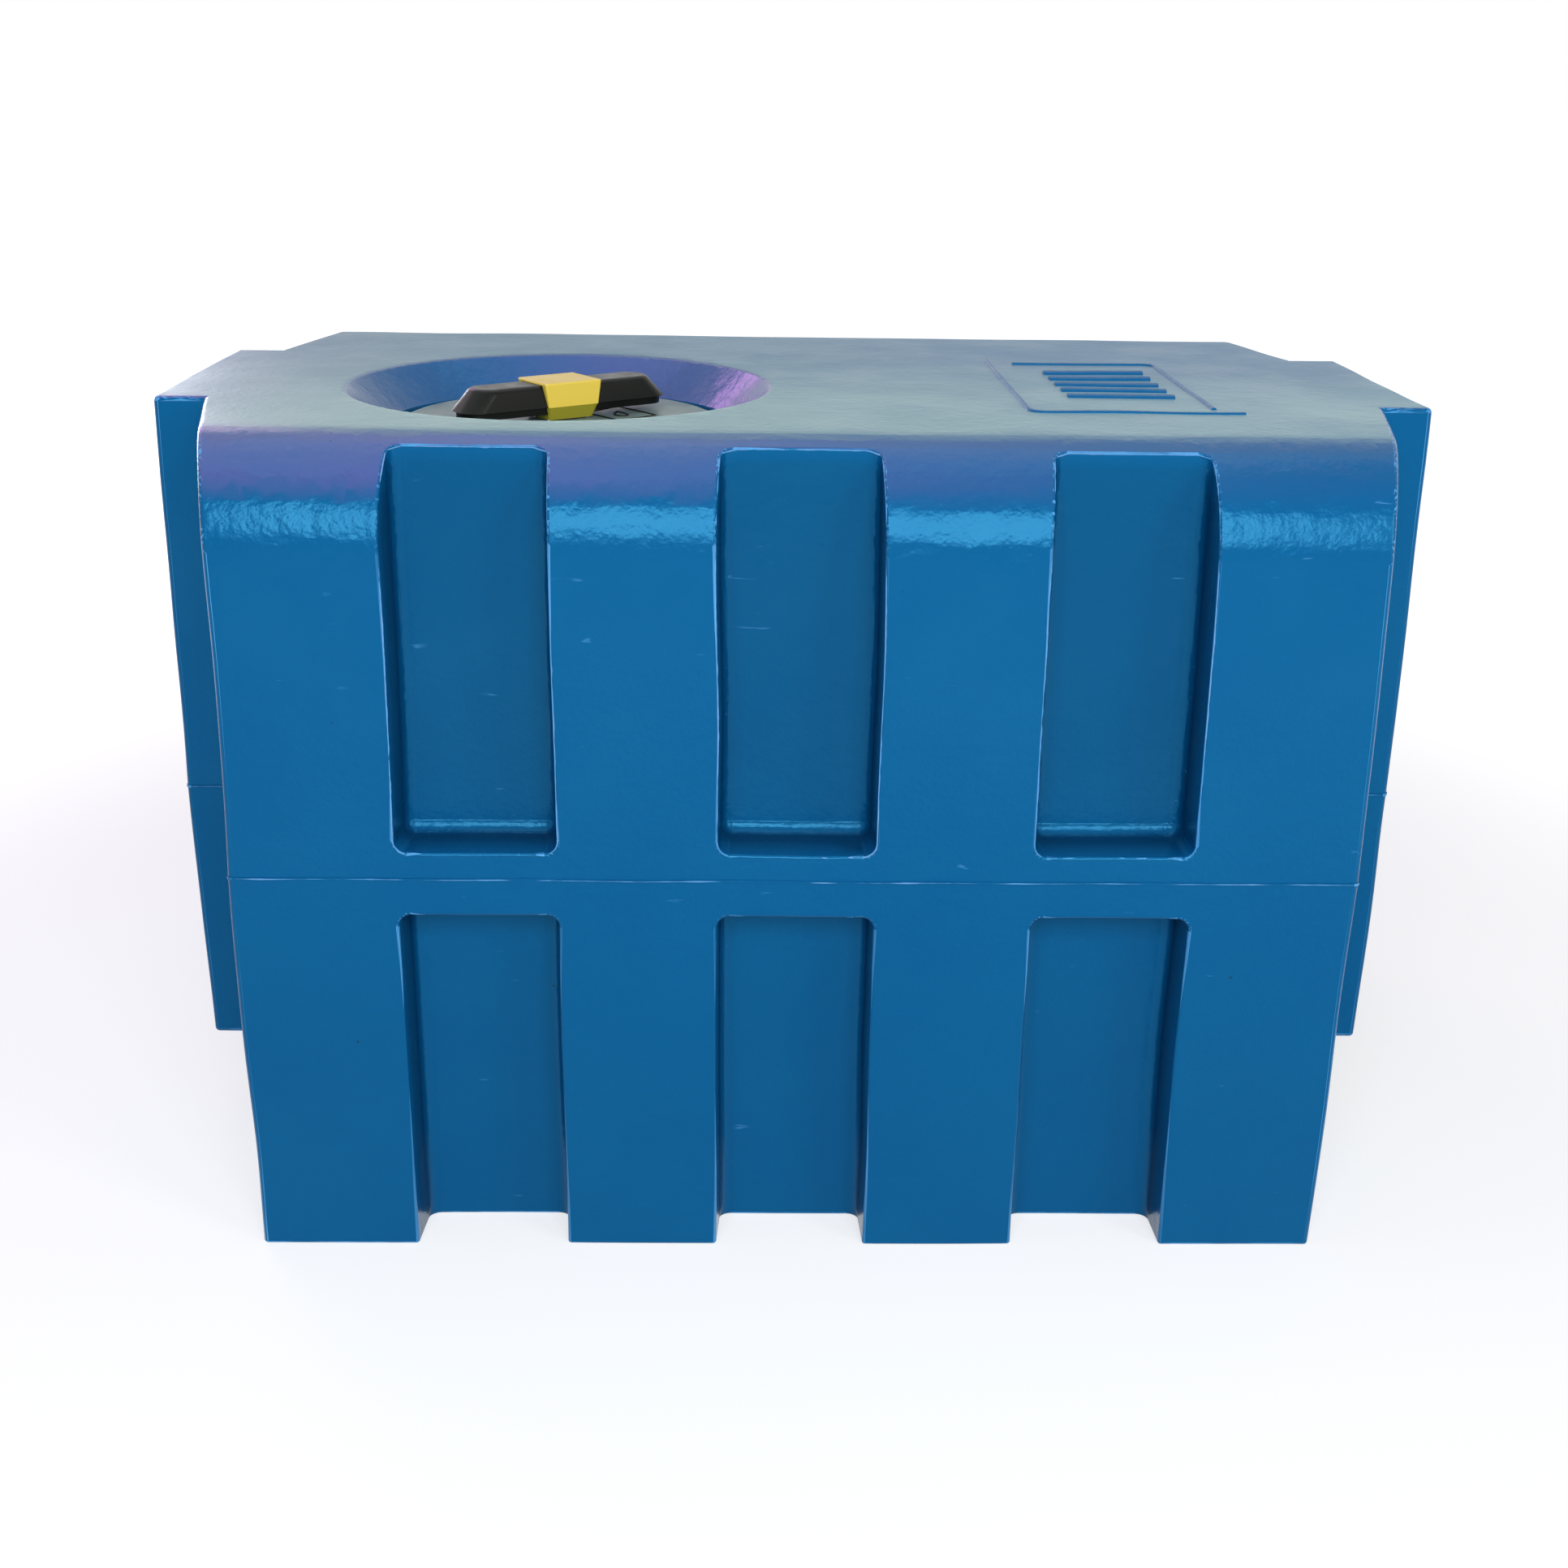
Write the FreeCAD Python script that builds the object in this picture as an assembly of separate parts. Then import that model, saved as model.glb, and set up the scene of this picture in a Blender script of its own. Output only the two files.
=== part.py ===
import FreeCAD, Part
import math
import os

# Drinking water tank in rotomoulded polyethylene, with a screw lid sunk in its top.
# Millimetres. X runs along the tank, Y from the front to the back, Z up.
# The origin is at the middle of the footprint, on the ground.

# Moulded body, measured at the parting line
tank_length = 1500.0
tank_depth = 1000.0
tank_height = 950.0
front_length = 1250.0
shoulder_length = 1380.0
band_depth = 416.0
band_underside_height = 126.0
parting_height = 472.0
draft_angle = 0.5
wall = 7.0
top_edge_radius = 115.0
corner_radius = 6.0
foot_radius = 3.0
flash_width = 3.0
flash_proud = 1.2

# Stiffening pockets in the front and the back
pocket_count = 3
pocket_spacing = 352.0
pocket_width = 176.0
pocket_depth = 65.0
pocket_side_draft = 3.5
pocket_corner_radius = 14.0
pocket_edge_radius = 4.0
pocket_gap_above_parting = 30.0
pocket_gap_below_parting = 42.0

# Sunken well and its upright neck
well_x = -287.0
well_y = -75.0
well_rim_radius = 258.0
well_foot_radius = 213.0
well_slope_drop = 45.0
well_depth = 92.0
well_rim_rounding = 10.0
well_floor_radius = 5.0
neck_outer_radius = 188.0
neck_wall = 8.0
neck_height = 41.0
neck_edge_radius = 1.0

# Screw lid
lid_plate = 5.0
lid_radius = 209.0
lid_face_radius = 186.0
lid_rim_drop = 9.0
lid_rim_edge = 4.0
lid_skirt_wall = 5.0
lid_skirt_depth = 34.0
lid_thread_gap = 6.0
lid_rounding = 1.5
seal_groove_depth = 2.0
seal_height = 8.0
seal_inset = 1.0
locating_ring_wall = 4.0
locating_ring_depth = 20.0
locating_ring_gap = 4.0
lid_rib_count = 8
lid_rib_thickness = 4.0

# Handle bar across the lid
handle_azimuth = 36.0
handle_gap = 9.0
handle_top_length = 240.0
handle_length = 286.0
handle_top_width = 50.0
handle_width = 60.0
handle_base_width = 52.0
handle_base_height = 9.0
handle_height = 35.0
handle_end_radius = 24.0
handle_wall = 4.0
handle_top_edge_radius = 8.0
handle_grip_rib_count = 5
handle_grip_rib_thickness = 3.0

# Yellow saddle and cradle that hold the bar
saddle_top_length = 80.0
saddle_base_length = 70.0
saddle_width = 68.0
saddle_wall = 3.0
saddle_edge_radius = 3.0
saddle_top_rounding = 2.4
air_gap = 3.0
air_groove_width = 12.0
air_groove_depth = 2.0
cradle_base_length = 62.0
cradle_base_width = 54.0
cradle_corner_radius = 5.0

# Vent through the middle of the lid
vent_seal_thickness = 2.0
vent_stem_radius = 15.0
vent_bore_radius = 10.5
vent_stem_length = 32.0
vent_nut_radius = 24.0
vent_nut_height = 10.0
vent_nut_notches = 8
vent_notch_width = 5.0
vent_notch_depth = 3.0

# Splash valve and insect screen at the foot of the vent
screen_thickness = 0.8
screen_seat_width = 1.5
screen_hole_radius = 1.0
screen_hole_spacing = 3.2
seat_thickness = 2.0
cage_wall = 2.5
cage_grip = 6.0
cage_window_count = 4
cage_window_width = 12.0
cage_floor = 2.0
float_radius = 11.5
float_gap = 1.5
float_height = 9.0
float_foot_bevel = 2.25
float_rise = 5.0
float_stop_clearance = 0.1

# Fasteners of the handle
screw_offset_along = 27.0
screw_offset_across = 17.0
screw_radius = 3.0
screw_length = 26.0
screw_head_radius = 5.5
screw_head_height = 3.5
screw_head_rounding = 1.2
screw_socket_radius = 2.0
screw_socket_depth = 2.0
washer_thickness = 1.5
boss_radius = 6.5

# Drain in the right end, under the band
drain_height = 62.0
drain_boss_radius = 34.0
drain_boss_proud = 12.0
insert_radius = 22.0
insert_collar_radius = 26.0
insert_collar_width = 5.0
drain_thread_radius = 15.2
plug_flange_radius = 21.0
plug_flange_thickness = 4.0
plug_stem_length = 16.2
plug_stem_chamfer = 1.9
plug_head_across_flats = 30.0
plug_head_height = 14.0
plug_corner_drop = 2.0
plug_bore_radius = 9.0
plug_bore_depth = 20.0
drain_seal_thickness = 2.5

# Clearances, and the distances at which shapes count as touching
cover_clearance = 0.3
thread_clearance = 0.3
screw_fit = 0.05
cut_overshoot = 20.0
touch = 0.001
shortest_edge = 0.01

# Heights and places that follow
parting_draft = math.tan(math.radians(draft_angle))
well_floor_z = tank_height - well_depth
neck_top_z = well_floor_z + neck_height
neck_bore_radius = neck_outer_radius - neck_wall
seal_outer_radius = neck_outer_radius - seal_inset
seal_inner_radius = neck_bore_radius + seal_inset
lid_under_z = neck_top_z + seal_height - seal_groove_depth
lid_face_z = lid_under_z + lid_plate
skirt_inner_radius = neck_outer_radius + lid_thread_gap
skirt_outer_radius = skirt_inner_radius + lid_skirt_wall
locating_ring_radius = neck_bore_radius - locating_ring_gap
handle_bottom_z = lid_face_z + handle_gap
handle_top_z = handle_bottom_z + handle_height
handle_ridge_z = handle_bottom_z + handle_base_height
cradle_bottom_z = lid_face_z + vent_seal_thickness
vent_foot_z = lid_face_z - vent_stem_length
screen_under_z = vent_foot_z - screen_thickness
chamber_top_z = screen_under_z - seat_thickness
chamber_floor_z = chamber_top_z - float_rise - float_height - float_stop_clearance
cage_outer_radius = max(vent_stem_radius + cover_clearance, float_radius + float_gap) + cage_wall
end_wall_x = shoulder_length / 2 - (parting_height - drain_height) * parting_draft
drain_face_x = end_wall_x + drain_boss_proud
insert_length = drain_boss_proud + wall + insert_collar_width


def point(x, y, z):
    return FreeCAD.Vector(x, y, z)


def closed_wire(points):
    return Part.makePolygon(points + [points[0]])


def revolved(profile):
    """Turn a closed list of (radius, height) points about the upright axis."""
    face = Part.Face(closed_wire([point(radius, 0, height) for radius, height in profile]))
    return face.revolve(point(0, 0, 0), point(0, 0, 1), 360)


def drum(radius, low, high):
    return Part.makeCylinder(radius, high - low, point(0, 0, low))


def ring(outer, inner, low, high):
    return drum(outer, low, high).cut(drum(inner, low - cut_overshoot, high + cut_overshoot))


def edges_that(shape, test):
    """Edges whose bounding box passes the test."""
    return [edge for edge in shape.Edges if test(edge.BoundBox)]


def level_edges(shape, height):
    """Edges that lie flat at one height."""
    return edges_that(shape, lambda box: abs(box.ZMin - height) < touch and abs(box.ZMax - height) < touch)


def circles_at(shape, radius, height):
    """Whole round edges with one radius, level at one height."""
    return [edge for edge in level_edges(shape, height)
            if abs(edge.BoundBox.XLength - 2 * radius) < touch
            and abs(edge.BoundBox.YLength - 2 * radius) < touch]


def place_in_well(shape):
    return shape.translated(point(well_x, well_y, 0))


# Tank shell

def inset_outline(corners, distance):
    """Move each side of a closed counter-clockwise outline inwards."""
    lines = []
    for index, (x0, y0) in enumerate(corners):
        x1, y1 = corners[(index + 1) % len(corners)]
        side = math.hypot(x1 - x0, y1 - y0)
        normal_x, normal_y = -(y1 - y0) / side, (x1 - x0) / side
        lines.append((normal_x, normal_y, normal_x * x0 + normal_y * y0 + distance))
    moved = []
    for index, (p, q, r) in enumerate(lines):
        a, b, c = lines[index - 1]
        scale = a * q - b * p
        moved.append(((c * q - b * r) / scale, (a * r - c * p) / scale))
    return moved


def hull_outline():
    """Plan of the main body: square-cut ends with tapered front and back shoulders."""
    front, shoulder = front_length / 2, shoulder_length / 2
    half_depth, half_band = tank_depth / 2, band_depth / 2
    return [(-front, -half_depth), (front, -half_depth), (shoulder, -half_band), (shoulder, half_band),
            (front, half_depth), (-front, half_depth), (-shoulder, half_band), (-shoulder, -half_band)]


def band_outline():
    half_length, half_band = tank_length / 2, band_depth / 2
    return [(-half_length, -half_band), (half_length, -half_band),
            (half_length, half_band), (-half_length, half_band)]


def drafted_half(outline, end_height, inset):
    """Loft from the parting line to one end, leaning inwards by the mould's draft."""
    taper = parting_draft * abs(end_height - parting_height)
    sections = []
    for height, shrink in ((parting_height, inset), (end_height, inset + taper)):
        sections.append(closed_wire([point(x, y, height) for x, y in inset_outline(outline, shrink)]))
    return Part.makeLoft(sections, True, True)


def body_form(inset):
    """The closed body without pockets or well, moved inwards by inset."""
    top, bottom, band_bottom = tank_height - inset, inset, band_underside_height + inset
    hull_top = drafted_half(hull_outline(), top, inset)
    long_edges = edges_that(hull_top, lambda box: abs(box.ZMin - top) < touch
                            and box.XLength > front_length / 2 and box.YLength < touch)
    hull_top = hull_top.makeFillet(top_edge_radius - inset, long_edges)
    hull_bottom = drafted_half(hull_outline(), bottom, inset)
    band_top = drafted_half(band_outline(), top, inset)
    band_bottom_half = drafted_half(band_outline(), band_bottom, inset)
    if inset == 0:
        shoulder_run = (shoulder_length - front_length) / 2 + corner_radius
        hull_top = hull_top.makeFillet(corner_radius, edges_that(
            hull_top, lambda box: box.ZMax > parting_height + touch and box.XLength < shoulder_run))
        hull_bottom = hull_bottom.makeFillet(corner_radius, edges_that(
            hull_bottom, lambda box: box.ZLength > parting_height / 2))
        band_top = band_top.makeFillet(corner_radius, edges_that(
            band_top, lambda box: box.ZMax > parting_height + touch))
        band_bottom_half = band_bottom_half.makeFillet(corner_radius, edges_that(
            band_bottom_half, lambda box: box.ZMin < parting_height - touch))
    return hull_top.fuse([hull_bottom, band_top, band_bottom_half]).removeSplitter()


def flash_ridge():
    """Thin ridge left where the two halves of the mould meet."""
    plates = []
    for outline in (hull_outline(), band_outline()):
        low = parting_height - flash_width / 2
        grown = [point(x, y, low) for x, y in inset_outline(outline, -flash_proud)]
        plate = Part.Face(closed_wire(grown)).extrude(point(0, 0, flash_width))
        upright = edges_that(plate, lambda box: box.ZLength > flash_width / 2)
        plates.append(plate.makeFillet(corner_radius + flash_proud, upright))
    return plates[0].fuse(plates[1]).removeSplitter()


def pocket_places():
    middle = (pocket_count - 1) / 2
    return [(index - middle) * pocket_spacing for index in range(pocket_count)]


def pocket_void(centre_x, upper, grow=0.0):
    """The space of one front pocket, grown into the wall when the cavity is made round it."""
    narrowing = math.tan(math.radians(pocket_side_draft))
    mouth_y = -tank_depth / 2 - cut_overshoot
    back_y = -tank_depth / 2 + pocket_depth + grow
    mouth_half = pocket_width / 2 + cut_overshoot * narrowing + grow
    back_half = pocket_width / 2 - pocket_depth * narrowing + grow
    rise = pocket_depth * narrowing
    if upper:
        near, far = parting_height + pocket_gap_above_parting - grow, tank_height + cut_overshoot
    else:
        near, far, rise = parting_height - pocket_gap_below_parting + grow, -cut_overshoot, -rise
    lean = parting_draft * abs(far - parting_height)
    near_section = [point(centre_x - mouth_half, mouth_y, near),
                    point(centre_x + mouth_half, mouth_y, near),
                    point(centre_x + back_half, back_y, near + rise),
                    point(centre_x - back_half, back_y, near + rise)]
    far_section = [point(centre_x - mouth_half, mouth_y, far), point(centre_x + mouth_half, mouth_y, far),
                   point(centre_x + back_half, back_y + lean, far),
                   point(centre_x - back_half, back_y + lean, far)]
    void = Part.makeLoft([closed_wire(near_section), closed_wire(far_section)], True, True)
    inner = edges_that(void, lambda box: box.YMax > mouth_y + touch
                       and (abs(box.ZMin - far) > touch or abs(box.ZMax - far) > touch))
    return void.makeFillet(pocket_corner_radius + grow, inner)


def all_pockets(grow=0.0):
    """Front pockets above and below the parting line, and the same in the back."""
    front = [pocket_void(x, upper, grow) for x in pocket_places() for upper in (True, False)]
    return front + [void.mirror(point(0, 0, 0), point(0, 1, 0)) for void in front]


def mouth_edges(shape, form, void):
    """Edges where one pocket opens through the outside of the body, without those of the foot."""
    reach = void.BoundBox
    reach.enlarge(touch)
    skin, side = form.Shells[0], void.Shells[0]
    found = []
    for edge in shape.Edges:
        middle = edge.valueAt((edge.FirstParameter + edge.LastParameter) / 2)
        if not reach.isInside(middle) or edge.Length < shortest_edge or middle.z < touch:
            continue
        spot = Part.Vertex(middle)
        if side.distToShape(spot)[0] < touch and skin.distToShape(spot)[0] < touch:
            found.append(edge)
    return found


def well_void():
    """The space of the well and of the trough round the neck."""
    slope_foot_z = tank_height - well_slope_drop
    slope = (well_rim_radius - well_foot_radius) / well_slope_drop
    void = revolved([(0, tank_height + cut_overshoot),
                     (well_rim_radius + cut_overshoot * slope, tank_height + cut_overshoot),
                     (well_foot_radius, slope_foot_z), (well_foot_radius, well_floor_z),
                     (neck_outer_radius, well_floor_z), (neck_outer_radius, neck_top_z), (0, neck_top_z)])
    void = void.makeFillet(well_floor_radius, circles_at(void, well_foot_radius, well_floor_z)
                           + circles_at(void, neck_outer_radius, well_floor_z))
    void = void.makeFillet(neck_edge_radius, circles_at(void, neck_outer_radius, neck_top_z))
    return place_in_well(void)


def well_block():
    """The well with its wall, as the cavity goes round it."""
    slope_foot_z = tank_height - well_slope_drop
    slope = (well_rim_radius - well_foot_radius) / well_slope_drop
    slope_wall = wall * math.hypot(1.0, slope)
    foot_radius_out = well_foot_radius + wall
    foot_z = slope_foot_z - (slope_wall - wall) / slope
    high = tank_height + cut_overshoot
    block = revolved([(0, high), (foot_radius_out + (high - foot_z) * slope, high),
                      (foot_radius_out, foot_z), (foot_radius_out, well_floor_z - wall),
                      (0, well_floor_z - wall)])
    return place_in_well(block)


def along_drain(shape):
    """Turn a shape made about the upright axis so that it points out of the right end."""
    turned = shape.rotated(point(0, 0, 0), point(0, 1, 0), 90)
    return turned.translated(point(drain_face_x, 0, drain_height))


def insert_form():
    """Outside of the moulded-in insert, with one collar that locks it in the wall."""
    collar_low = -(drain_boss_proud + insert_collar_width) / 2
    body = drum(insert_radius, -insert_length, 0)
    return body.fuse(drum(insert_collar_radius, collar_low - insert_collar_width / 2,
                          collar_low + insert_collar_width / 2)).removeSplitter()


def make_tank_shell():
    form = body_form(0.0)
    outside = form
    for void in all_pockets():
        outside = outside.cut(void)
        outside = outside.makeFillet(pocket_edge_radius, mouth_edges(outside, form, void))
    outside = outside.makeFillet(foot_radius, level_edges(outside, 0.0))
    outside = outside.fuse(flash_ridge().cut(form))
    outside = outside.cut(well_void())
    outside = outside.makeFillet(well_rim_rounding, circles_at(outside, well_rim_radius, tank_height))
    drain_boss = along_drain(drum(drain_boss_radius, -insert_length, 0))
    outside = outside.fuse(drain_boss)
    cavity = body_form(wall).cut([well_block()] + all_pockets(wall)).cut(drain_boss)
    bore = place_in_well(drum(neck_bore_radius, well_floor_z - cut_overshoot, tank_height))
    shell = outside.cut([cavity, bore, along_drain(insert_form())])
    return shell.removeSplitter()


# Lid and its seal

def place_on_handle(shape):
    """Turn a shape drawn along X to the handle's direction, over the middle of the well."""
    return place_in_well(shape.rotated(point(0, 0, 0), point(0, 0, 1), handle_azimuth))


def screw_places():
    return [(along, across) for along in (-screw_offset_along, screw_offset_along)
            for across in (-screw_offset_across, screw_offset_across)]


def at_screws(shape):
    """Copies of an upright shape at the handle's screws."""
    return [shape.translated(point(along, across, 0)) for along, across in screw_places()]


def lid_profile():
    """Half section of the lid: face, sloping rim, skirt and plate."""
    rim_z = lid_face_z - lid_rim_drop
    rim_under_z = rim_z - lid_rim_edge
    return [(0, lid_face_z), (lid_face_radius, lid_face_z), (lid_radius, rim_z), (lid_radius, rim_under_z),
            (skirt_outer_radius, rim_under_z), (skirt_outer_radius, lid_under_z - lid_skirt_depth),
            (skirt_inner_radius, lid_under_z - lid_skirt_depth), (skirt_inner_radius, lid_under_z),
            (0, lid_under_z)]


def make_lid_body():
    lid = revolved(lid_profile())
    lid = lid.makeFillet(lid_rounding, circles_at(lid, lid_face_radius, lid_face_z)
                         + circles_at(lid, lid_radius, lid_face_z - lid_rim_drop)
                         + circles_at(lid, skirt_outer_radius, lid_under_z - lid_skirt_depth))
    lid = lid.cut(ring(seal_outer_radius + cover_clearance, seal_inner_radius - cover_clearance,
                       lid_under_z - cut_overshoot, lid_under_z + seal_groove_depth))
    ring_inner = locating_ring_radius - locating_ring_wall
    ribs = [ring(locating_ring_radius, ring_inner, lid_under_z - locating_ring_depth, lid_under_z)]
    hub_radius = math.hypot(screw_offset_along, screw_offset_across) + boss_radius
    for index in range(lid_rib_count):
        rib = Part.makeBox(locating_ring_radius - locating_ring_wall / 2 - hub_radius, lid_rib_thickness,
                           locating_ring_depth,
                           point(hub_radius, -lid_rib_thickness / 2, lid_under_z - locating_ring_depth))
        ribs.append(rib.rotated(point(0, 0, 0), point(0, 0, 1), index * 360 / lid_rib_count))
    lid = lid.fuse(ribs).removeSplitter()
    lid = place_on_handle(lid)
    low, high = lid_under_z - cut_overshoot, lid_face_z + cut_overshoot
    holes = [drum(vent_stem_radius + thread_clearance, low, high)]
    holes += at_screws(drum(screw_radius + cover_clearance, low, high))
    return lid.cut([place_on_handle(hole) for hole in holes])


def make_lid_seal():
    seal = ring(seal_outer_radius, seal_inner_radius, neck_top_z, neck_top_z + seal_height)
    return place_in_well(seal)


# Handle bar

def rounded_plan(length, width, end_radius, height):
    """A bar's outline with rounded corners, drawn at one height."""
    half_length, half_width = length / 2, width / 2
    bow = end_radius * (1 - math.sqrt(0.5))
    arcs = []
    for sign_x, sign_y in ((1, -1), (1, 1), (-1, 1), (-1, -1)):
        on_side = point(sign_x * (half_length - end_radius), sign_y * half_width, height)
        middle = point(sign_x * (half_length - bow), sign_y * (half_width - bow), height)
        on_end = point(sign_x * half_length, sign_y * (half_width - end_radius), height)
        if sign_x * sign_y < 0:
            arcs.append((on_side, middle, on_end))
        else:
            arcs.append((on_end, middle, on_side))
    edges = []
    for index, (first, middle, last) in enumerate(arcs):
        following = arcs[(index + 1) % len(arcs)][0]
        edges.append(Part.Arc(first, middle, last).toShape())
        edges.append(Part.LineSegment(last, following).toShape())
    return Part.Wire(edges)


def tapered_block(low_size, high_size, radius, low, high):
    """A block with rounded upright corners, from one length and width to another."""
    sections = [rounded_plan(*low_size, radius, low), rounded_plan(*high_size, radius, high)]
    return Part.makeLoft(sections, True, True)


def handle_block(shrink=0.0):
    """The bar's outline: a tucked-in base, then sides and ends that lean in to the top."""
    def smaller(length, width):
        return length - 2 * shrink, width - 2 * shrink
    radius = handle_end_radius - shrink
    tuck = handle_width - handle_base_width
    low, ridge, high = handle_bottom_z, handle_ridge_z + shrink, handle_top_z - shrink
    base_size = smaller(handle_length - tuck, handle_base_width)
    base = tapered_block(base_size, base_size, radius, low, ridge)
    upper = tapered_block(smaller(handle_length, handle_width),
                          smaller(handle_top_length, handle_top_width), radius, ridge, high)
    if shrink == 0:
        upper = upper.makeFillet(handle_top_edge_radius, level_edges(upper, handle_top_z))
    return base.fuse(upper)


def saddle_block(grow=0.0):
    """The saddle's outline, wider at the top than at the foot."""
    top_z = handle_top_z + saddle_wall
    return tapered_block((saddle_base_length + 2 * grow, saddle_width + 2 * grow),
                         (saddle_top_length + 2 * grow, saddle_width + 2 * grow),
                         saddle_edge_radius + grow, handle_ridge_z, top_z)


def make_handle_bar():
    """A hollow moulding, open below, with a solid hub, cross ribs and a bed for the saddle."""
    bar = handle_block()
    hollow = handle_block(handle_wall)
    hub = Part.makeBox(cradle_base_length, handle_width, handle_height,
                       point(-cradle_base_length / 2, -handle_width / 2, handle_bottom_z))
    ribs = [hub]
    rib = Part.makeBox(handle_grip_rib_thickness, handle_width, handle_height,
                       point(-handle_grip_rib_thickness / 2, -handle_width / 2,
                             handle_bottom_z + handle_base_height / 2))
    rib_spacing = (handle_top_length - cradle_base_length) / 2 / (handle_grip_rib_count + 1)
    for side in (-1, 1):
        for index in range(handle_grip_rib_count):
            along = cradle_base_length / 2 + (index + 1) * rib_spacing
            ribs.append(rib.translated(point(side * along, 0, 0)))
    bar = bar.cut(hollow.cut(ribs))
    bed_z = handle_top_z - air_gap
    bed = saddle_block(cover_clearance).common(Part.makeBox(
        handle_length, handle_length, cut_overshoot, point(-handle_length / 2, -handle_length / 2, bed_z)))
    grooves = []
    for side in (-1, 1):
        half_width = handle_top_width / 2 - air_groove_depth
        grooves.append(Part.makeBox(air_groove_width, handle_width, handle_height,
                                    point(-air_groove_width / 2, half_width, handle_ridge_z)))
        grooves[-1] = grooves[-1].rotated(point(0, 0, 0), point(0, 0, 1), 90 - 90 * side)
    passage = drum(vent_bore_radius, handle_bottom_z - cut_overshoot, handle_top_z + cut_overshoot)
    pilot_top = lid_under_z - washer_thickness + screw_length + cover_clearance
    pilots = at_screws(drum(screw_radius + screw_fit, handle_bottom_z - cut_overshoot, pilot_top))
    return place_on_handle(bar.cut([bed, passage] + grooves + pilots))


def make_hub_cap():
    """Yellow saddle over the middle of the bar, which shields the vent's outlet."""
    top_z = handle_top_z + saddle_wall
    cap = saddle_block()
    cap = cap.makeFillet(saddle_top_rounding, level_edges(cap, top_z))
    slope = (handle_width - handle_top_width) / 2 / (handle_top_z - handle_ridge_z)
    foot, head = handle_width / 2 + cover_clearance, handle_top_width / 2 + cover_clearance
    section = [point(-saddle_width, -foot, handle_ridge_z), point(-saddle_width, foot, handle_ridge_z),
               point(-saddle_width, head, handle_top_z), point(-saddle_width, -head, handle_top_z)]
    room = Part.Face(closed_wire(section)).extrude(point(2 * saddle_width, 0, 0))
    return place_on_handle(cap.cut(room))


# Vent

def make_vent_body():
    """Yellow cradle under the bar, with the hollow stem that goes down through the lid."""
    cradle = tapered_block((cradle_base_length, cradle_base_width), (saddle_base_length, saddle_width),
                           cradle_corner_radius, cradle_bottom_z, handle_ridge_z - cover_clearance)
    bed = Part.makeBox(handle_length, handle_base_width + 2 * cover_clearance, handle_height,
                       point(-handle_length / 2, -handle_base_width / 2 - cover_clearance, handle_bottom_z))
    stem = drum(vent_stem_radius, vent_foot_z, cradle_bottom_z)
    body = cradle.cut(bed).fuse(stem)
    bore = drum(vent_bore_radius, vent_foot_z - cut_overshoot, handle_top_z)
    holes = at_screws(drum(screw_radius + cover_clearance, vent_foot_z, handle_top_z))
    return place_on_handle(body.cut([bore] + holes))


def make_vent_seal():
    """Flat ring between the cradle and the lid's face, inside the screws."""
    return place_in_well(ring(vent_nut_radius, vent_stem_radius + cover_clearance,
                              lid_face_z, cradle_bottom_z))


def make_vent_nut():
    """Round nut under the lid's plate, with notches for a pin spanner."""
    nut = ring(vent_nut_radius, vent_stem_radius + thread_clearance,
               lid_under_z - vent_nut_height, lid_under_z)
    notches = []
    for index in range(vent_nut_notches):
        notch = Part.makeBox(cut_overshoot, vent_notch_width, vent_nut_height,
                             point(vent_nut_radius - vent_notch_depth, -vent_notch_width / 2,
                                   lid_under_z - vent_nut_height))
        notches.append(notch.rotated(point(0, 0, 0), point(0, 0, 1), index * 360 / vent_nut_notches))
    return place_on_handle(nut.cut(notches))


def make_vent_screen():
    """Perforated disc held between the stem and the cage."""
    disc = drum(vent_stem_radius, vent_foot_z - screen_thickness, vent_foot_z)
    hole = drum(screen_hole_radius, screen_under_z - cut_overshoot, vent_foot_z + cut_overshoot)
    reach = math.ceil(vent_bore_radius / screen_hole_spacing)
    holes = []
    for column in range(-reach, reach + 1):
        for row in range(-reach, reach + 1):
            x = (column + (row % 2) / 2) * screen_hole_spacing
            y = row * screen_hole_spacing * math.sqrt(0.75)
            if math.hypot(x, y) < vent_bore_radius - screen_hole_radius:
                holes.append(hole.translated(point(x, y, 0)))
    return place_in_well(disc.cut(holes))


def make_vent_cage():
    """Open cage under the stem: it clamps the screen and holds the splash valve's float."""
    floor_z = chamber_floor_z - cage_floor
    cage = drum(cage_outer_radius, floor_z, vent_foot_z + cage_grip)
    collar = drum(vent_stem_radius + cover_clearance, screen_under_z, vent_foot_z + cut_overshoot)
    seat = drum(vent_bore_radius - screen_seat_width, floor_z, vent_foot_z)
    chamber = drum(float_radius + float_gap, chamber_floor_z, chamber_top_z)
    windows = []
    for index in range(cage_window_count):
        window = Part.makeBox(cage_outer_radius * 2, cage_window_width, chamber_top_z - chamber_floor_z,
                              point(0, -cage_window_width / 2, chamber_floor_z))
        windows.append(window.rotated(point(0, 0, 0), point(0, 0, 1), index * 360 / cage_window_count))
    return place_on_handle(cage.cut([collar, seat, chamber] + windows))


def make_vent_float():
    """Light plastic float with a bevelled foot: it lifts against the seat when water slops up."""
    high = chamber_floor_z + float_height
    profile = [(0, chamber_floor_z), (float_radius - float_foot_bevel, chamber_floor_z),
               (float_radius, chamber_floor_z + float_foot_bevel), (float_radius, high), (0, high)]
    return place_in_well(revolved(profile))


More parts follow.
